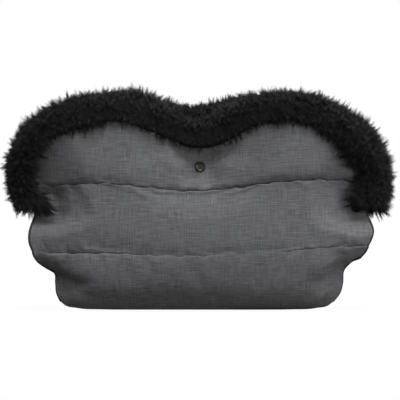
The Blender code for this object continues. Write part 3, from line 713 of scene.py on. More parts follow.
def melange_cloth():
    """Dark grey melange with a linen look: uneven yarns both ways."""
    cloth = Surface("outer_fabric_cloth", 0.92, specular=0.2, sheen=0.12)
    weft = cloth.cloth_noise(42.0, 520.0, 3.0, 0.62)
    warp = cloth.cloth_noise(560.0, 38.0, 3.0, 0.62)
    fleck = cloth.cloth_noise(900.0, 1300.0, 1.0)
    drift = cloth.cloth_noise(9.0, 14.0)
    patchy = cloth.scaled(cloth.cloth_noise(26.0, 60.0, 1.0), 0.2, 1.8)
    crossed = cloth.scaled(cloth.cloth_noise(60.0, 24.0, 1.0), 0.1, 1.9)
    factor = cloth.maths(
        "ADD",
        cloth.maths("MULTIPLY", cloth.scaled(weft, -0.72, 0.72), patchy),
        cloth.maths("MULTIPLY", cloth.scaled(warp, -0.50, 0.50), crossed),
        cloth.scaled(fleck, -0.20, 0.20),
        cloth.scaled(drift, -0.08, 0.08),
        1.0,
    )
    cloth.paint(MELANGE_GREY, factor)
    yarns = cloth.maths("MULTIPLY", cloth.ribs(YARNS, "X"), cloth.ribs(YARNS, "Y"))
    cloth.bump(cloth.maths("ADD", yarns, cloth.maths("ADD", weft, warp)), 0.00035, 0.7)
    return cloth.material


def fleece():
    """Short soft nap."""
    cloth = Surface("lining_fleece_nap", 0.98, specular=0.1, sheen=0.12)
    nap = cloth.cloth_noise(900.0, 900.0, 4.0, 0.7)
    pills = cloth.cloth_noise(160.0, 160.0)
    factor = cloth.maths("ADD", cloth.scaled(nap, -0.5, 0.5), cloth.scaled(pills, 0.65, 1.35))
    cloth.paint(FLEECE_GREY, factor)
    cloth.bump(cloth.maths("ADD", nap, pills), 0.0012, 0.8)
    return cloth.material


def binding_tape():
    """Charcoal tape with fine ribs across it."""
    tape = Surface("edge_binding_tape", 0.85, specular=0.25, sheen=0.1)
    ribs = tape.ribs(RIBS, "X")
    lint = tape.cloth_noise(500.0, 500.0)
    factor = tape.maths("ADD", tape.scaled(ribs, 0.75, 1.15), tape.scaled(lint, -0.2, 0.2))
    tape.paint(TAPE_GREY, factor)
    tape.bump(ribs, 0.0003, 0.8)
    return tape.material


def pile():
    """Long black pile with a soft sheen, paler on some hairs, with painted shade in the middle of
    the strip and painted light at its ends.
    """
    hairs = Surface("faux_fur_pile", 0.50, specular=0.20)
    shade = hairs.add("ShaderNodeAttribute", attribute_name="shade").outputs["Fac"]
    patches = hairs.scaled(hairs.solid_noise(70.0, 2.0), 0.6, 1.3)
    hairs.paint(FUR_BLACK, hairs.maths("MULTIPLY", hairs.scaled(shade, 0.55, 4.2), patches))
    return hairs.material


def backing():
    """Dark knitted backing under the pile."""
    knit = Surface("faux_fur_backing", 0.95, specular=0.1)
    tufts = knit.solid_noise(260.0, 3.0)
    knit.paint(FUR_BLACK, knit.scaled(tufts, 0.3, 1.2))
    knit.bump(tufts, 0.002, 0.9)
    return knit.material


def stud_metal():
    """Dark antiqued metal: dull brown on the flat middle, with shade painted black on the rim."""
    metal = Surface("stud_metal_stained_rim_shaded", 0.45, specular=0.4, metallic=0.85)
    coords = metal.add("ShaderNodeTexCoord").outputs["Object"]
    flat = metal.vector_maths("MULTIPLY", "Vector", coords, (1.0, 0.0, 1.0))
    radius = metal.vector_maths("LENGTH", "Value", flat)
    # Painted shade: the cap is painted black towards its rim, and stains break the black up
    painted_rim_shade = metal.scaled(radius, 0.0, 1.0, *(CAP_RADIUS * share for share in STUD_RIM))
    stains = metal.solid_noise(600.0, 3.0)
    rim_shade_and_stains = metal.maths("MULTIPLY", painted_rim_shade, metal.scaled(stains, 0.3, 1.4))
    color = metal.add(
        "ShaderNodeMix",
        {"Factor": rim_shade_and_stains, "A": STUD_BROWN, "B": STUD_RIM_SHADE_BLACK},
        data_type="RGBA",
    )
    metal.link(color.outputs["Result"], metal.shader.inputs["Base Color"])
    metal.link(metal.scaled(stains, 0.22, 0.45), metal.shader.inputs["Roughness"])
    metal.bump(stains, 0.0001, 0.5)
    return metal.material


CLOTH = melange_cloth()
LINING = fleece()
TAPE = binding_tape()
PILE = pile()
BACKING = backing()
METAL = stud_metal()


# Cloth


def dress(obj, side, slot, *nodes, bends=False):
    """Say what a piece moves with and the solids it stands for; its material slot is not used.

    A panel's cloth that bends is attached to no body: its place is baked into its mesh.
    """
    if bends and side != TUB:
        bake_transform(obj)
    else:
        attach(obj, BODIES[side])
    if nodes:
        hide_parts(*nodes)


def build_cloth(side, grid, sewn_rows):
    """A padded shell, settled over its padding, and the fleece lining inside it."""
    prefix = PREFIXES[side]
    outer = offset(grid, grid["thickness"])
    outer[..., 2] -= grid["sag"]
    depth = np.minimum(creased(outer), grid["thickness"] - SEAM_THICKNESS)
    outer = outer - grid["outward"] * depth[..., None]
    held = sewn_points(outer)
    held[sewn_rows] = True
    uvs = cloth_uvs(outer)
    outer = settled(outer, held, *SETTLING[side])
    hidden = FABRIC + FIT + HIDDEN_SHARE * (grid["thickness"] - SEAM_THICKNESS)
    shell = closed_sheet(f"{prefix}_quilted_shell", offset(grid, hidden), outer, CLOTH, uvs)
    shell.data.set_sharp_from_angle(angle=SEAM_ANGLE)
    inner = grid["points"]
    lining = closed_sheet(f"{prefix}_fleece_lining", inner, offset(grid, FABRIC), LINING)
    dress(shell, side, "outer_fabric", f"{prefix}_shell", *WADDINGS[side], bends=True)
    dress(lining, side, "lining_fleece", f"{prefix}_lining", bends=True)


# Creases pressed into the front: the points they run through as (x, height), depth and half width
CREASES = (
    (((-0.0500, 0.2370), (-0.0340, 0.2270), (-0.0110, 0.2060)), 0.0046, 0.0050),
    (((0.0500, 0.2330), (0.0300, 0.2190), (0.0100, 0.2095)), 0.0046, 0.0045),
    (((-0.0640, 0.2260), (-0.0440, 0.2130), (-0.0240, 0.1990)), -0.0026, 0.0100),
    (((0.0640, 0.2210), (0.0440, 0.2080), (0.0220, 0.1990)), -0.0026, 0.0100),
    (((-0.0080, 0.1960), (-0.0140, 0.1850), (-0.0220, 0.1765)), 0.0060, 0.0038),
    (((0.0020, 0.1920), (-0.0040, 0.1830), (-0.0120, 0.1750)), -0.0034, 0.0055),
    (((0.0010, 0.2230), (0.0030, 0.2160), (0.0020, 0.2100)), 0.0024, 0.0030),
)
# Broad soft hollows in the front, and rises: x, height, half width, half height and depth
HOLLOWS = (
    (-0.238, 0.125, 0.034, 0.042, 0.0080),
    (-0.150, 0.088, 0.050, 0.016, 0.0030),
    (-0.064, 0.222, 0.024, 0.016, 0.0035),
    (0.052, 0.216, 0.024, 0.016, 0.0020),
    (-0.026, 0.2220, 0.016, 0.009, 0.0040),
    (0.028, 0.2200, 0.016, 0.009, 0.0040),
    (-0.050, 0.205, 0.018, 0.012, -0.0020),
    (0.046, 0.200, 0.018, 0.012, -0.0020),
    (-0.172, 0.043, 0.022, 0.012, -0.0020),
    (0.172, 0.045, 0.016, 0.017, -0.0100),
)
# Points along a crease, and the shares of it between which it fades in and out
CREASE_STEPS = 24
CREASE_ENDS = (0.08, 0.92)


def creased(points):
    """How deep each point lies in a hollow or crease of the front."""
    flat = points[..., (0, 2)] + [0.0, BAR_HEIGHT]
    depth = np.zeros(flat.shape[:2])
    for x, height, half_width, half_height, deepest in HOLLOWS:
        gap = ((flat[..., 0] - x) / half_width) ** 2 + ((flat[..., 1] - height) / half_height) ** 2
        depth += deepest * np.exp(-0.5 * gap)
    for line, deepest, half_width in CREASES:
        knots = np.linspace(0.0, 1.0, len(line))
        steps = np.linspace(0.0, 1.0, CREASE_STEPS)
        along = curve(knots, np.array(line), steps)
        gaps = np.linalg.norm(flat[:, :, None, :] - along, axis=-1)
        fade = np.sin(np.pi * np.clip(steps, *CREASE_ENDS))
        depth += deepest * (fade * np.exp(-(gaps / half_width) ** 2)).max(axis=-1)
    return depth * (points[..., 1] < 0)


def sewn_points(points):
    """Which points of the cloth a press stud holds."""
    held = np.zeros(points.shape[:2], bool)
    for _name, x, height, _pinch in stud_places():
        reach = np.hypot(points[..., 0] - x, points[..., 2] + BAR_HEIGHT - height)
        held |= reach < PAD_HALF_SIZE
    return held


def settled(outer, held, extra, seed):
    """The cloth after it swells over its padding and puckers at its seams."""
    rows, columns = outer.shape[:2]
    held[[0, -1]] = True
    held[:, [0, -1]] = True
    uneven = np.random.default_rng(seed).normal(0.0, UNEVENNESS, (rows * columns, 3))
    start = outer.reshape(-1, 3) + uneven * ~held.reshape(-1, 1)
    obj = mesh_object("settling", start, [grid_faces(rows, columns, flip=True)], CLOTH)
    group = obj.vertex_groups.new(name="sewn")
    group.add(np.flatnonzero(held.ravel()).tolist(), 1.0, "REPLACE")
    cloth = obj.modifiers.new("cloth", "CLOTH")
    for key, value in CLOTH_PHYSICS.items():
        setattr(cloth.settings, key, value)
    cloth.settings.shrink_min = -extra
    cloth.settings.effector_weights.gravity = 0.0
    cloth.collision_settings.use_collision = False
    cloth.point_cache.frame_start = 1
    cloth.point_cache.frame_end = SETTLING_FRAMES
    for step in range(1, SETTLING_FRAMES + 1):
        bpy.context.scene.frame_set(step)
    moved = obj.evaluated_get(bpy.context.evaluated_depsgraph_get()).data
    place = np.zeros(rows * columns * 3, np.float32)
    moved.vertices.foreach_get("co", place)
    bpy.data.objects.remove(obj, do_unlink=True)
    bpy.context.scene.frame_set(1)
    shift = place.reshape(-1, 3) - outer.reshape(-1, 3)
    length = np.linalg.norm(shift, axis=1, keepdims=True) + TINY
    shift *= MOST_SWELL * np.tanh(length / MOST_SWELL) / length
    return outer + shift.reshape(outer.shape)


# Bindings


def side_normals(path, turn):
    """Directions square to a path, in the plane that the camera sees."""
    along = np.gradient(path, axis=0)
    return unit(np.stack([-along[:, 2], 0.0 * along[:, 0], along[:, 0]], axis=-1) * turn)


def build_slot_bindings(side, grid):
    """The bound edge of a panel beside each side slot, up into the fur."""
    count = row_at(grid, SLOT_TAPE_TOP) + 1
    for which, column, turn in (("left", 0, 1.0), ("right", -1, -1.0)):
        path = middle_points(grid)[:count, column]
        path = path - side_normals(path, turn) * BINDING_INSET
        name = f"{PREFIXES[side]}_{which}_slot"
        obj = tube(f"{name}_tape", path, BINDING_RADIUS, TAPE)
        dress(obj, side, "edge_binding", f"{name}_binding", bends=True)


def build_tub_edges(grid):
    """The binding round the foot of each side slot, and the bound seam down each end."""
    for which, column, inward in (("left", 0, 1.0), ("right", -1, -1.0)):
        points = middle_points(grid)[:, column]
        half = len(points) // 2
        notch = int(np.argmin(np.abs(points[:half, 2] + BAR_HEIGHT - NOTCH_HEIGHT)))
        front = points[:notch + 1]
        around = np.concatenate([front, front[::-1] * [1.0, -1.0, 1.0]])
        seam = points[notch:half + 1] * [1.0, 0.0, 1.0] + [inward * END_SEAM_INSET, 0.0, 0.0]
        for name, node, path, radius in (
            ("notch_tape", "notch_binding", around, BINDING_RADIUS),
            ("end_seam", "seam_tape", seam, END_SEAM_RADIUS),
        ):
            obj = tube(f"{which}_{name}", path, radius, TAPE)
            dress(obj, TUB, "edge_binding", f"{which}_{node}")


# Fur


# Height at which the slot's tape ends under the fur, and the fur starts on each side edge
SLOT_TAPE_TOP = 0.1460
LEFT_FUR_START = 0.1480
RIGHT_FUR_START = 0.1420
# How far from the middle plane any hair may reach
MOST_DEPTH = 0.0645
# Where the pile reaches further: x, height, distance, over the cloth, and away from it
OVERHANGS = (
    (-0.238, 0.224, 0.034, 0.011, 0.003),
    (-0.191, 0.262, 0.030, 0.008, -0.001),
    (-0.096, 0.262, 0.014, 0.000, 0.008),
    (-0.045, 0.240, 0.026, 0.006, 0.000),
    (-0.170, 0.262, 0.020, 0.012, -0.001),
    (0.016, 0.226, 0.014, 0.007, 0.000),
    (0.046, 0.246, 0.026, 0.009, 0.001),
    (0.180, 0.255, 0.022, 0.011, -0.002),
    (0.212, 0.228, 0.024, 0.018, 0.007),
    (0.236, 0.156, 0.024, 0.026, 0.000),
    (-0.232, 0.151, 0.018, 0.025, 0.000),
)
# The pile's pieces: name, tufts, hairs in each, reach along the strip, half turns round it from
# outwards, how far the tips hang down, and seed
PILES = (
    ("pile_1", 1560, 12, (0.0, 1.0), (-1.0, 1.0), 0.0, 40),
    ("pile_2", 1560, 12, (0.0, 1.0), (-1.0, 1.0), 0.0, 47),
    ("pile_3", 1560, 12, (0.0, 1.0), (-1.0, 1.0), 0.0, 54),
    ("guard_hairs", 620, 5, (0.0, 1.0), (-1.0, 1.0), 0.0, 61),
    ("left_fall", 420, 15, (0.0, 0.10), (0.62, 1.0), 0.009, 107),
    ("left_shoulder", 300, 15, (0.08, 0.30), (0.62, 1.0), 0.002, 123),
    ("right_shoulder", 620, 15, (0.68, 0.91), (0.62, 1.0), 0.004, 127),
    ("right_fall", 420, 15, (0.88, 1.0), (0.62, 1.0), 0.004, 111),
)
# Painted light and shade on the pile, by share of the way along the strip: the hairs are painted
# darker in the middle, as shade in the dip between the lobes, and paler towards the ends as light,
# most at the left end
PILE_PAINTED_LIGHT_AND_SHADE = (
    (0.0, 1.5), (0.12, 1.15), (0.3, 1.0), (0.44, 0.75), (0.52, 0.62), (0.6, 0.8), (0.75, 1.0),
    (1.0, 1.15),
)
# How much lower the parted pile lies between the two lobes: where, over what half width, how much
MIDDLE_DIP = (-0.022, 0.030, 0.010)
# The strip's half width by share of the way along it
FUR_ENDS = (
    (0.0, 0.72), (0.02, 0.82), (0.07, 0.88), (0.14, 0.92), (0.2, 1.0), (0.8, 1.0), (0.86, 0.95),
    (0.93, 0.92), (0.98, 0.88), (1.0, 0.80),
)
# The strip's middle line: its points, and over how many of them it is smoothed
LINE_POINTS = 240
SMOOTHED_OVER = 15
# Share of its depth where the two strips meet, and how far it lies over the cloth at least
MET_DEPTH = 0.7
LEAST_OVER = 0.004
# How square the strip's section is, where 2 would be round, and how deep it stays on the inside
SQUARENESS = 2.6
INNER_DEPTH = 0.9
# The backing under the pile
BACKING_RINGS = 160
BACKING_SIDES = 20
BACKING_SCALE = 0.76
BACKING_OVER = 0.5
BACKING_END = 0.12
# Tufts: how long they are, how far they are combed outwards and up to which turn, how they lean
# and hang, and the waves in which they sweep along the strip: share, closeness and phase
TUFT_LENGTH = 1.0
GUARD_LENGTH = 1.06
LENGTH_SPREAD = 0.13
LENGTH_LIMITS = (0.74, 1.34)
COMBED = (0.1, 0.5)
COMBED_UP_TO = 2.7
COMB_FADE = 1.1
LEAN_SPREAD = 0.0030
LEAN = (0.0, 0.0, -0.0008)
DROPS = (0.3, 1.0)
SWEEP = 0.0032
SWEEP_WAVES = ((1.0, 41.0, 1.0), (0.7, 97.0, 2.0))
# How the hairs of a tuft stray from it: along the strip, round it, in length and at the tip
STRAY = 0.0024
STRAY_TURN = 0.11
STRAY_LENGTH = (0.80, 1.03)
STRAY_TIP = 0.0005
# How far hairs lean outwards at the strip's two ends, and over what share of it
END_LEAN = 0.008
END_SHARE = 0.035
# Hairs: where on the section they root, how thick they are, how far tufts pull them together
ROOT_SCALE = 0.42
HAIR_RADIUS = 0.00030
GUARD_RADIUS = 0.00036
HAIR_WIDTHS = (0.7, 1.3)
TUFT_PULL = 0.80
# A hair's bow: how much of the combing it follows, how far out it is, how much it is straightened
BOW_COMBED = 0.35
BOW_REACH = 0.72
BOW_STRAIGHTENED = 0.6
# A hair's rings: share of the way up, share of its thickness and share of its tone; and its tip's
HAIR_RINGS = ((0.0, 1.0, 0.25), (0.5, 0.8, 0.8))
TIP_TONE = 1.0
# Tone that tufts and hairs add at most and how rare that is, and what guard hairs always add
TUFT_TONE = (0.55, 2.5)
HAIR_TONE = (0.45, 3)
GUARD_TONE = 0.45
HAIR_SIDES = ((0, 1), (1, 2), (2, 0))


def row_at(grid, height):
    """The row of a panel's side edges that lies nearest to a height."""
    return int(np.argmin(np.abs(grid["points"][:, 0, 2] + BAR_HEIGHT - height)))


def fur_line(side, grid):
    """The middle line of a fur strip and its section's sizes, evenly spaced from left to right."""
    last = len(grid["points"]) - 1
    side_points = middle_points(grid)
    left = side_points[row_at(grid, LEFT_FUR_START):last, 0]
    top = side_points[last]
    right = side_points[last - 1:row_at(grid, RIGHT_FUR_START) - 1:-1, -1]
    path = np.concatenate([left, top, right])
    length = run_along(path)
    shares = np.linspace(0.0, 1.0, LINE_POINTS)
    path = interpolated(shares * length[-1], length, path)
    kernel = np.hanning(SMOOTHED_OVER) / np.hanning(SMOOTHED_OVER).sum()
    half = SMOOTHED_OVER // 2
    before, after = 2 * path[0] - path[half:0:-1], 2 * path[-1] - path[-2:-half - 2:-1]
    padded = np.concatenate([before, path, after])
    path = np.stack([np.convolve(padded[:, axis], kernel, "valid") for axis in range(3)], axis=-1)
    out = side_normals(path, 1.0)
    half_width = FUR_HALF_WIDTH * table(FUR_ENDS, shares)
    parted = np.minimum(np.abs(path[:, 1]) / MOUTH_HALF_GAP, 1.0)
    half_depth = FUR_HALF_DEPTH * mix(MET_DEPTH, 1.0, parted)
    depth = np.maximum(np.abs(path[:, 1]) + FUR_FORWARD, half_depth + FIT)
    centre = path + out * (half_width + FIT)[:, None]
    centre[:, 1] = side * depth
    along = unit(np.gradient(centre, axis=0))
    over, reach = np.full(len(path), LEAST_OVER), np.zeros(len(path))
    for x, height, spread, inner, outer in OVERHANGS:
        distance = np.hypot(path[:, 0] - x, path[:, 2] + BAR_HEIGHT - height)
        near = np.exp(-0.5 * (distance / spread) ** 2)
        over = np.maximum(over, inner * near)
        reach = np.maximum(reach, outer * near)
    dip_x, dip_spread, dip = MIDDLE_DIP
    reach = reach - dip * np.exp(-0.5 * ((path[:, 0] - dip_x) / dip_spread) ** 2)
    return {
        "shares": shares, "centre": centre, "out": out, "along": along, "half_width": half_width,
        "half_depth": half_depth, "over": over, "reach": reach,
    }


def read_line(line, key, shares):
    """One of the fur line's rows of values, read at any shares."""
    return interpolated(shares, line["shares"], line[key])


def section(line, shares, angles, scale):
    """Points on the fur's section at an angle, measured from outwards towards the front or back."""
    cosine, sine = np.cos(angles), np.sin(angles)
    full = 1.0 / (np.abs(cosine) ** SQUARENESS + np.abs(sine) ** SQUARENESS) ** (1.0 / SQUARENESS)
    inwards = cosine < 0
    clear = np.where(inwards, INNER_DEPTH * -cosine, 0.0)
    sine = np.where(sine < 0, -1.0, 1.0) * mix(np.abs(sine), 1.0, clear)
    width = read_line(line, "half_width", shares)
    width = width + read_line(line, "over", shares) * np.clip(-cosine, 0.0, 1.0)
    width = width + read_line(line, "reach", shares) * np.clip(cosine, 0.0, 1.0)
    depth = read_line(line, "half_depth", shares)
    out = read_line(line, "out", shares)
    through = np.array([0.0, 1.0, 0.0])
    return (
        out * (width * cosine * full * scale)[:, None]
        + through * (depth * sine * full * scale)[:, None]
    )


def build_pile(side, line, name, tufts, hairs, reach, turn, drop, seed):
    """Hairs in tufts; guard hairs are the few long, thick and paler ones."""
    guard = name == "guard_hairs"
    rng = np.random.default_rng(seed)
    count = tufts * hairs
    which = np.repeat(np.arange(tufts), hairs)
    tuft_share = rng.uniform(*reach, tufts)
    tuft_angle = rng.uniform(*sorted(side * half_turns * math.pi for half_turns in turn), tufts)
    usual = GUARD_LENGTH if guard else TUFT_LENGTH
    tuft_length = np.clip(rng.normal(usual, LENGTH_SPREAD, tufts), *LENGTH_LIMITS)
    inside = smooth((COMBED_UP_TO - np.abs(tuft_angle)) / COMB_FADE)
    combed = 1.0 - rng.uniform(*COMBED, tufts) * inside
    sweep = sum(
        size * np.sin(tuft_share * closeness + times * seed)
        for size, closeness, times in SWEEP_WAVES
    )
    tuft_lean = rng.normal(0.0, LEAN_SPREAD, (tufts, 3)) + LEAN
    tuft_lean += read_line(line, "along", tuft_share) * (SWEEP * sweep)[:, None]
    share = np.clip(tuft_share[which] + rng.normal(0.0, STRAY, count), 0.0, 1.0)
    angle = tuft_angle[which] + rng.normal(0.0, STRAY_TURN, count)
    length = tuft_length[which] * rng.uniform(*STRAY_LENGTH, count)
    centre = read_line(line, "centre", share)
    root = centre + section(line, share, angle, ROOT_SCALE)
    free_tip = centre + section(line, share, angle * combed[which], length)
    tuft_centre = read_line(line, "centre", tuft_share)
    tuft_tip = tuft_centre + section(line, tuft_share, tuft_angle * combed, tuft_length)
    together = TUFT_PULL * (length / length.max())[:, None]
    tip = mix(free_tip, tuft_tip[which], together) + tuft_lean[which]
    tip += rng.normal(0.0, STRAY_TIP, (count, 3))
    tip[:, 2] -= drop * rng.uniform(*DROPS, tufts)[which]
    end_lean = np.clip(1.0 - np.minimum(share, 1.0 - share) / END_SHARE, 0.0, 1.0)
    end_lean = np.where(share < 0.5, -1, 1) * end_lean * END_LEAN
    tip += read_line(line, "along", share) * end_lean[:, None]
    tip[:, 1] = np.clip(tip[:, 1], -MOST_DEPTH, MOST_DEPTH)
    bow_angle = angle * mix(1.0, combed[which], BOW_COMBED)
    bow = centre + section(line, share, bow_angle, mix(ROOT_SCALE, length, BOW_REACH))
    middle = mix(bow, mix(root, tip, 0.5), BOW_STRAIGHTENED)
    rings = []
    thickness = (GUARD_RADIUS if guard else HAIR_RADIUS) * rng.uniform(*HAIR_WIDTHS, count)
    guide = rng.normal(0.0, 1.0, (count, 3))
    for t, share_left, _tone in HAIR_RINGS:
        point = (1 - t) ** 2 * root + 2 * t * (1 - t) * middle + t * t * tip
        tangent = unit(2 * (1 - t) * (middle - root) + 2 * t * (tip - middle), TINY)
        first = unit(np.cross(tangent, guide), TINY)
        second = np.cross(tangent, first)
        for step in range(3):
            around = 2.0 * math.pi * step / 3.0
            arm = first * math.cos(around) + second * math.sin(around)
            rings.append(point + arm * (thickness * share_left)[:, None])
    verts = np.stack([*rings, tip], axis=1)
    base = (np.arange(count) * 7)[:, None]
    quads = [base + [low, high, 3 + high, 3 + low] for low, high in HAIR_SIDES]
    triangles = [base + [3 + low, 3 + high, 6] for low, high in HAIR_SIDES] + [base + [2, 1, 0]]
    faces = [np.concatenate(quads), np.concatenate(triangles)]
    obj = mesh_object(f"{PREFIXES[side]}_fur_{name}", verts.reshape(-1, 3), faces, PILE)
    shade = obj.data.attributes.new("shade", "FLOAT", "POINT")
    tone = TUFT_TONE[0] * rng.uniform(0.0, 1.0, tufts)[which] ** TUFT_TONE[1]
    tone = tone + HAIR_TONE[0] * rng.uniform(0.0, 1.0, count) ** HAIR_TONE[1]
    # Each hair's tone is scaled by the painted light and shade along the strip: darker in the
    # middle, paler at the ends
    tone = (tone + (GUARD_TONE if guard else 0.0)) * table(PILE_PAINTED_LIGHT_AND_SHADE, share)
    lift = np.array([lift for *_ring, lift in HAIR_RINGS for _corner in HAIR_SIDES] + [TIP_TONE])
    shade.data.foreach_set("value", (tone[:, None] * lift).astype(np.float32).ravel())
    dress(obj, side, "faux_fur")


def build_fur(side, grid):
    """A fur strip: its dark backing and its pile in several pieces."""
    line = fur_line(side, grid)
    shares = np.linspace(0.0, 1.0, BACKING_RINGS)
    from_end = np.minimum(line["shares"], 1.0 - line["shares"])
    over = BACKING_OVER * line["over"] * smooth(from_end / BACKING_END)
    core_line = dict(line, over=over, reach=np.minimum(line["reach"], 0.0))
    centre = read_line(line, "centre", shares)
    strands = []
    for angle in 2.0 * np.pi * np.arange(BACKING_SIDES) / BACKING_SIDES:
        scale = mix(BACKING_SCALE, 1.0, max(-math.cos(angle), 0.0) ** 4)
        angles = np.full(BACKING_RINGS, angle)
        strands.append(centre + section(core_line, shares, angles, scale))
    rings = np.stack(strands, axis=1)
    core = capped_rings(f"{PREFIXES[side]}_fur_backing", rings, BACKING)
    dress(core, side, "faux_fur", f"{PREFIXES[side]}_fur_trim")
    for *piece, seed in PILES:
        build_pile(side, line, *piece, seed + side)


# Press studs


SOCKET_PLAY = 0.0007
# Turned faces that meet more sharply than this stay sharp
STUD_ANGLE = math.radians(38.0)


def turned_piece(name, profile, seat, side, steps=40):
    """Turn a profile of (radius, outward distance) round a stud's axis."""
    profile = np.array(profile)
    angles = 2.0 * np.pi * np.arange(steps) / steps
    closed = profile[0][0] > 0.0
    verts, rows = [], []
    for radius, out in profile:
        if radius == 0.0:
            rows.append(np.full(steps, len(verts)))
            verts.append((0.0, side * out, 0.0))
            continue
        rows.append(len(verts) + np.arange(steps))
        for angle in angles:
            verts.append((radius * math.cos(angle), side * out, radius * math.sin(angle)))
    quads, triangles = [], []
    pairs = list(zip(rows, rows[1:])) + ([(rows[-1], rows[0])] if closed else [])
    for low, high in pairs:
        for step in range(steps):
            after = (step + 1) % steps
            corners = list(dict.fromkeys([low[step], low[after], high[after], high[step]]))
            (quads if len(corners) == 4 else triangles).append(corners)
    groups = [np.array(group) for group in (quads, triangles) if group]
    obj = face_out(mesh_object(name, verts, groups, METAL))
    obj.data.set_sharp_from_angle(angle=STUD_ANGLE)
    obj.location = seat
    return obj


def half_section(radius, height, *shares):
    """Points of a stud part's half section, as shares of its radius and height."""
    return [(radius * across, height * up) for across, up in shares]


def build_studs():
    through = FIT + CLAMPED_THICKNESS + FIT
    hole = PRONG_RADIUS + FIT
    recess = KNOB_RADIUS + SOCKET_PLAY
    grip = PRONG_GRIP + FIT
    cap_tip = -(through + SOCKET_FLOOR)
    rivet_tip = -(through + PRONG_GRIP)
    cap = half_section(
        CAP_RADIUS, CAP_HEIGHT, (0.0, 0.56), (0.40, 0.58), (0.60, 0.64), (0.68, 0.78),
        (0.76, 0.95), (0.84, 1.0), (0.92, 0.92), (0.98, 0.70), (1.0, 0.45), (0.96, 0.0),
    ) + [(PRONG_RADIUS, 0.0), (PRONG_RADIUS, cap_tip), (0.0, cap_tip)]
    socket = [(hole, 0.0)] + half_section(
        SOCKET_RADIUS, SOCKET_HEIGHT, (1.0, 0.0), (1.0, 0.8), (0.96, 0.94), (0.9, 1.0),
    ) + half_section(recess, SOCKET_HEIGHT, (1.06, 1.0), (1.0, 0.95))
    socket += [(recess, SOCKET_FLOOR), (hole, SOCKET_FLOOR)]
    post = half_section(
        KNOB_RADIUS, KNOB_HEIGHT, (0.0, 1.0), (0.6, 0.99), (0.88, 0.92), (1.0, 0.75),
        (0.92, 0.55), (0.90, 0.42),
    ) + [(KNOB_RADIUS, STUD_BASE)]
    post += half_section(STUD_RADIUS, STUD_BASE, (0.9, 1.0), (1.0, 0.7), (1.0, 0.0))
    post += [(hole, 0.0), (hole, grip), (0.0, grip)]
    rivet = half_section(
        RIVET_RADIUS, RIVET_HEIGHT, (0.0, 1.0), (0.5, 0.95), (0.8, 0.78), (0.97, 0.45),
        (1.0, 0.2), (1.0, 0.0),
    ) + [(PRONG_RADIUS, 0.0), (PRONG_RADIUS, rivet_tip), (0.0, rivet_tip)]
    inner = CLOSED_HALF_GAP - FIT
    outer = CLOSED_HALF_GAP + CLAMPED_THICKNESS + FIT
    for name, x, height, _pinch in stud_places():
        for kind, profile, panel, distance, faces in (
            ("cap", cap, FRONT, outer, FRONT),
            ("socket", socket, FRONT, inner, BACK),
            ("post", post, BACK, inner, FRONT),
            ("rivet", rivet, BACK, outer, BACK),
        ):
            seat = (x, panel * distance, height - BAR_HEIGHT)
            obj = turned_piece(f"{name}_snap_{kind}", profile, seat, faces)
            dress(obj, panel, "stud_metal", f"{name}_stud_{kind}")


# Stage


WORLD_LIGHT = 0.45
# Name, place, size and power
LIGHTS = (
    ("key", (0.05, -1.15, 1.64), 0.9, 31.0),
    ("side", (1.80, -0.20, 0.84), 0.9, 6.0),
    ("front", (1.40, -1.55, 0.15), 0.9, 15.0),
)
LIGHTS_AIM = Vector((0.0, 0.0, 0.03))
FLOOR_HALF_SIZE = 0.9
FLOOR_GAP = 0.003
PAPER_GREY = (0.10, 0.10, 0.10, 1.0)
PAPER_GLOW = 0.94
# The camera looks along +Y from this far, at a place (x, y, height) where its picture is this wide
CAMERA_DISTANCE = 3.0
CAMERA_AIM = (-0.0018, -0.04, 0.1562)
PICTURE_WIDTH = 0.562
SENSOR_WIDTH = 36.0


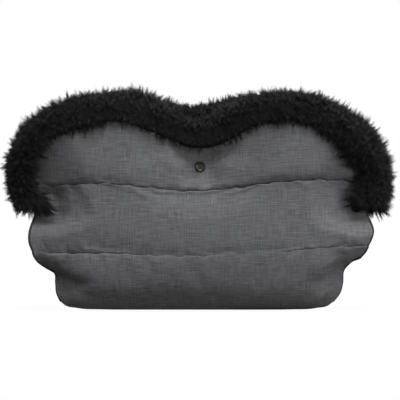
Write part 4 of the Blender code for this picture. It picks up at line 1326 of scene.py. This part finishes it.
def build_stage():
    """A pale floor and backdrop, soft light and the photograph's camera."""
    scene = bpy.context.scene
    scene.view_settings.view_transform = "Standard"
    lens = bpy.data.cameras.new("camera")
    lens.sensor_width = SENSOR_WIDTH
    lens.lens = SENSOR_WIDTH * CAMERA_DISTANCE / PICTURE_WIDTH
    x, y, height = CAMERA_AIM
    camera = linked("camera", lens, (x, y - CAMERA_DISTANCE, height - BAR_HEIGHT))
    camera.rotation_euler = (math.pi / 2.0, 0.0, 0.0)
    scene.camera = camera

    world = bpy.data.worlds.new("studio")
    world.use_nodes = True
    scene.world = world
    sky = Nodes(world.node_tree)
    rays = sky.add("ShaderNodeLightPath").outputs
    seen = [rays[f"Is {kind} Ray"] for kind in ("Camera", "Transmission", "Glossy")]
    background = sky.tree.nodes["Background"]
    background.inputs["Color"].default_value = (1.0, 1.0, 1.0, 1.0)
    strength = sky.scaled(sky.maths("MAXIMUM", *seen), WORLD_LIGHT, 1.0)
    sky.link(strength, background.inputs["Strength"])

    paper = Surface("floor_paper", 1.0, specular=0.0)
    shaded = paper.shader.outputs[0]
    paper.shader.inputs["Base Color"].default_value = PAPER_GREY
    glow = paper.add("ShaderNodeEmission", {"Strength": PAPER_GLOW}).outputs[0]
    both = paper.add("ShaderNodeAddShader", {0: shaded, 1: glow}).outputs[0]
    seen = paper.add("ShaderNodeLightPath").outputs["Is Camera Ray"]
    choose = paper.add("ShaderNodeMixShader", {0: seen, 1: shaded, 2: both}).outputs[0]
    paper.link(choose, paper.tree.nodes["Material Output"].inputs["Surface"])
    level = -BAR_HEIGHT - FLOOR_GAP
    corners = [
        (x * FLOOR_HALF_SIZE, y * FLOOR_HALF_SIZE, level)
        for x, y in ((-1, -1), (1, -1), (1, 1), (-1, 1))
    ]
    floor = mesh_object("floor", corners, [np.array([[0, 1, 2, 3]])], paper.material)

    for name, place, size, power in LIGHTS:
        light = bpy.data.lights.new(name, "AREA")
        light.shape = "DISK"
        light.size = size
        light.energy = power
        lamp = linked(name, light, place)
        lamp.rotation_euler = (LIGHTS_AIM - Vector(place)).to_track_quat("-Z", "Y").to_euler()


build_stage()
tub = tub_grid()
fold = len(tub["points"]) // 2
# Rows of the cloth that stitches hold: at the seams, and along the tub's fold
build_cloth(TUB, tub, [0, 1, *range(fold - 3, fold + 4), -2, -1])
build_tub_edges(tub)
for side in (FRONT, BACK):
    grid = panel_grid(side)
    build_cloth(side, grid, [0, 1, *range(MIDDLE_ROWS - 3, MIDDLE_ROWS + 2)])
    build_slot_bindings(side, grid)
    build_fur(side, grid)
build_studs()
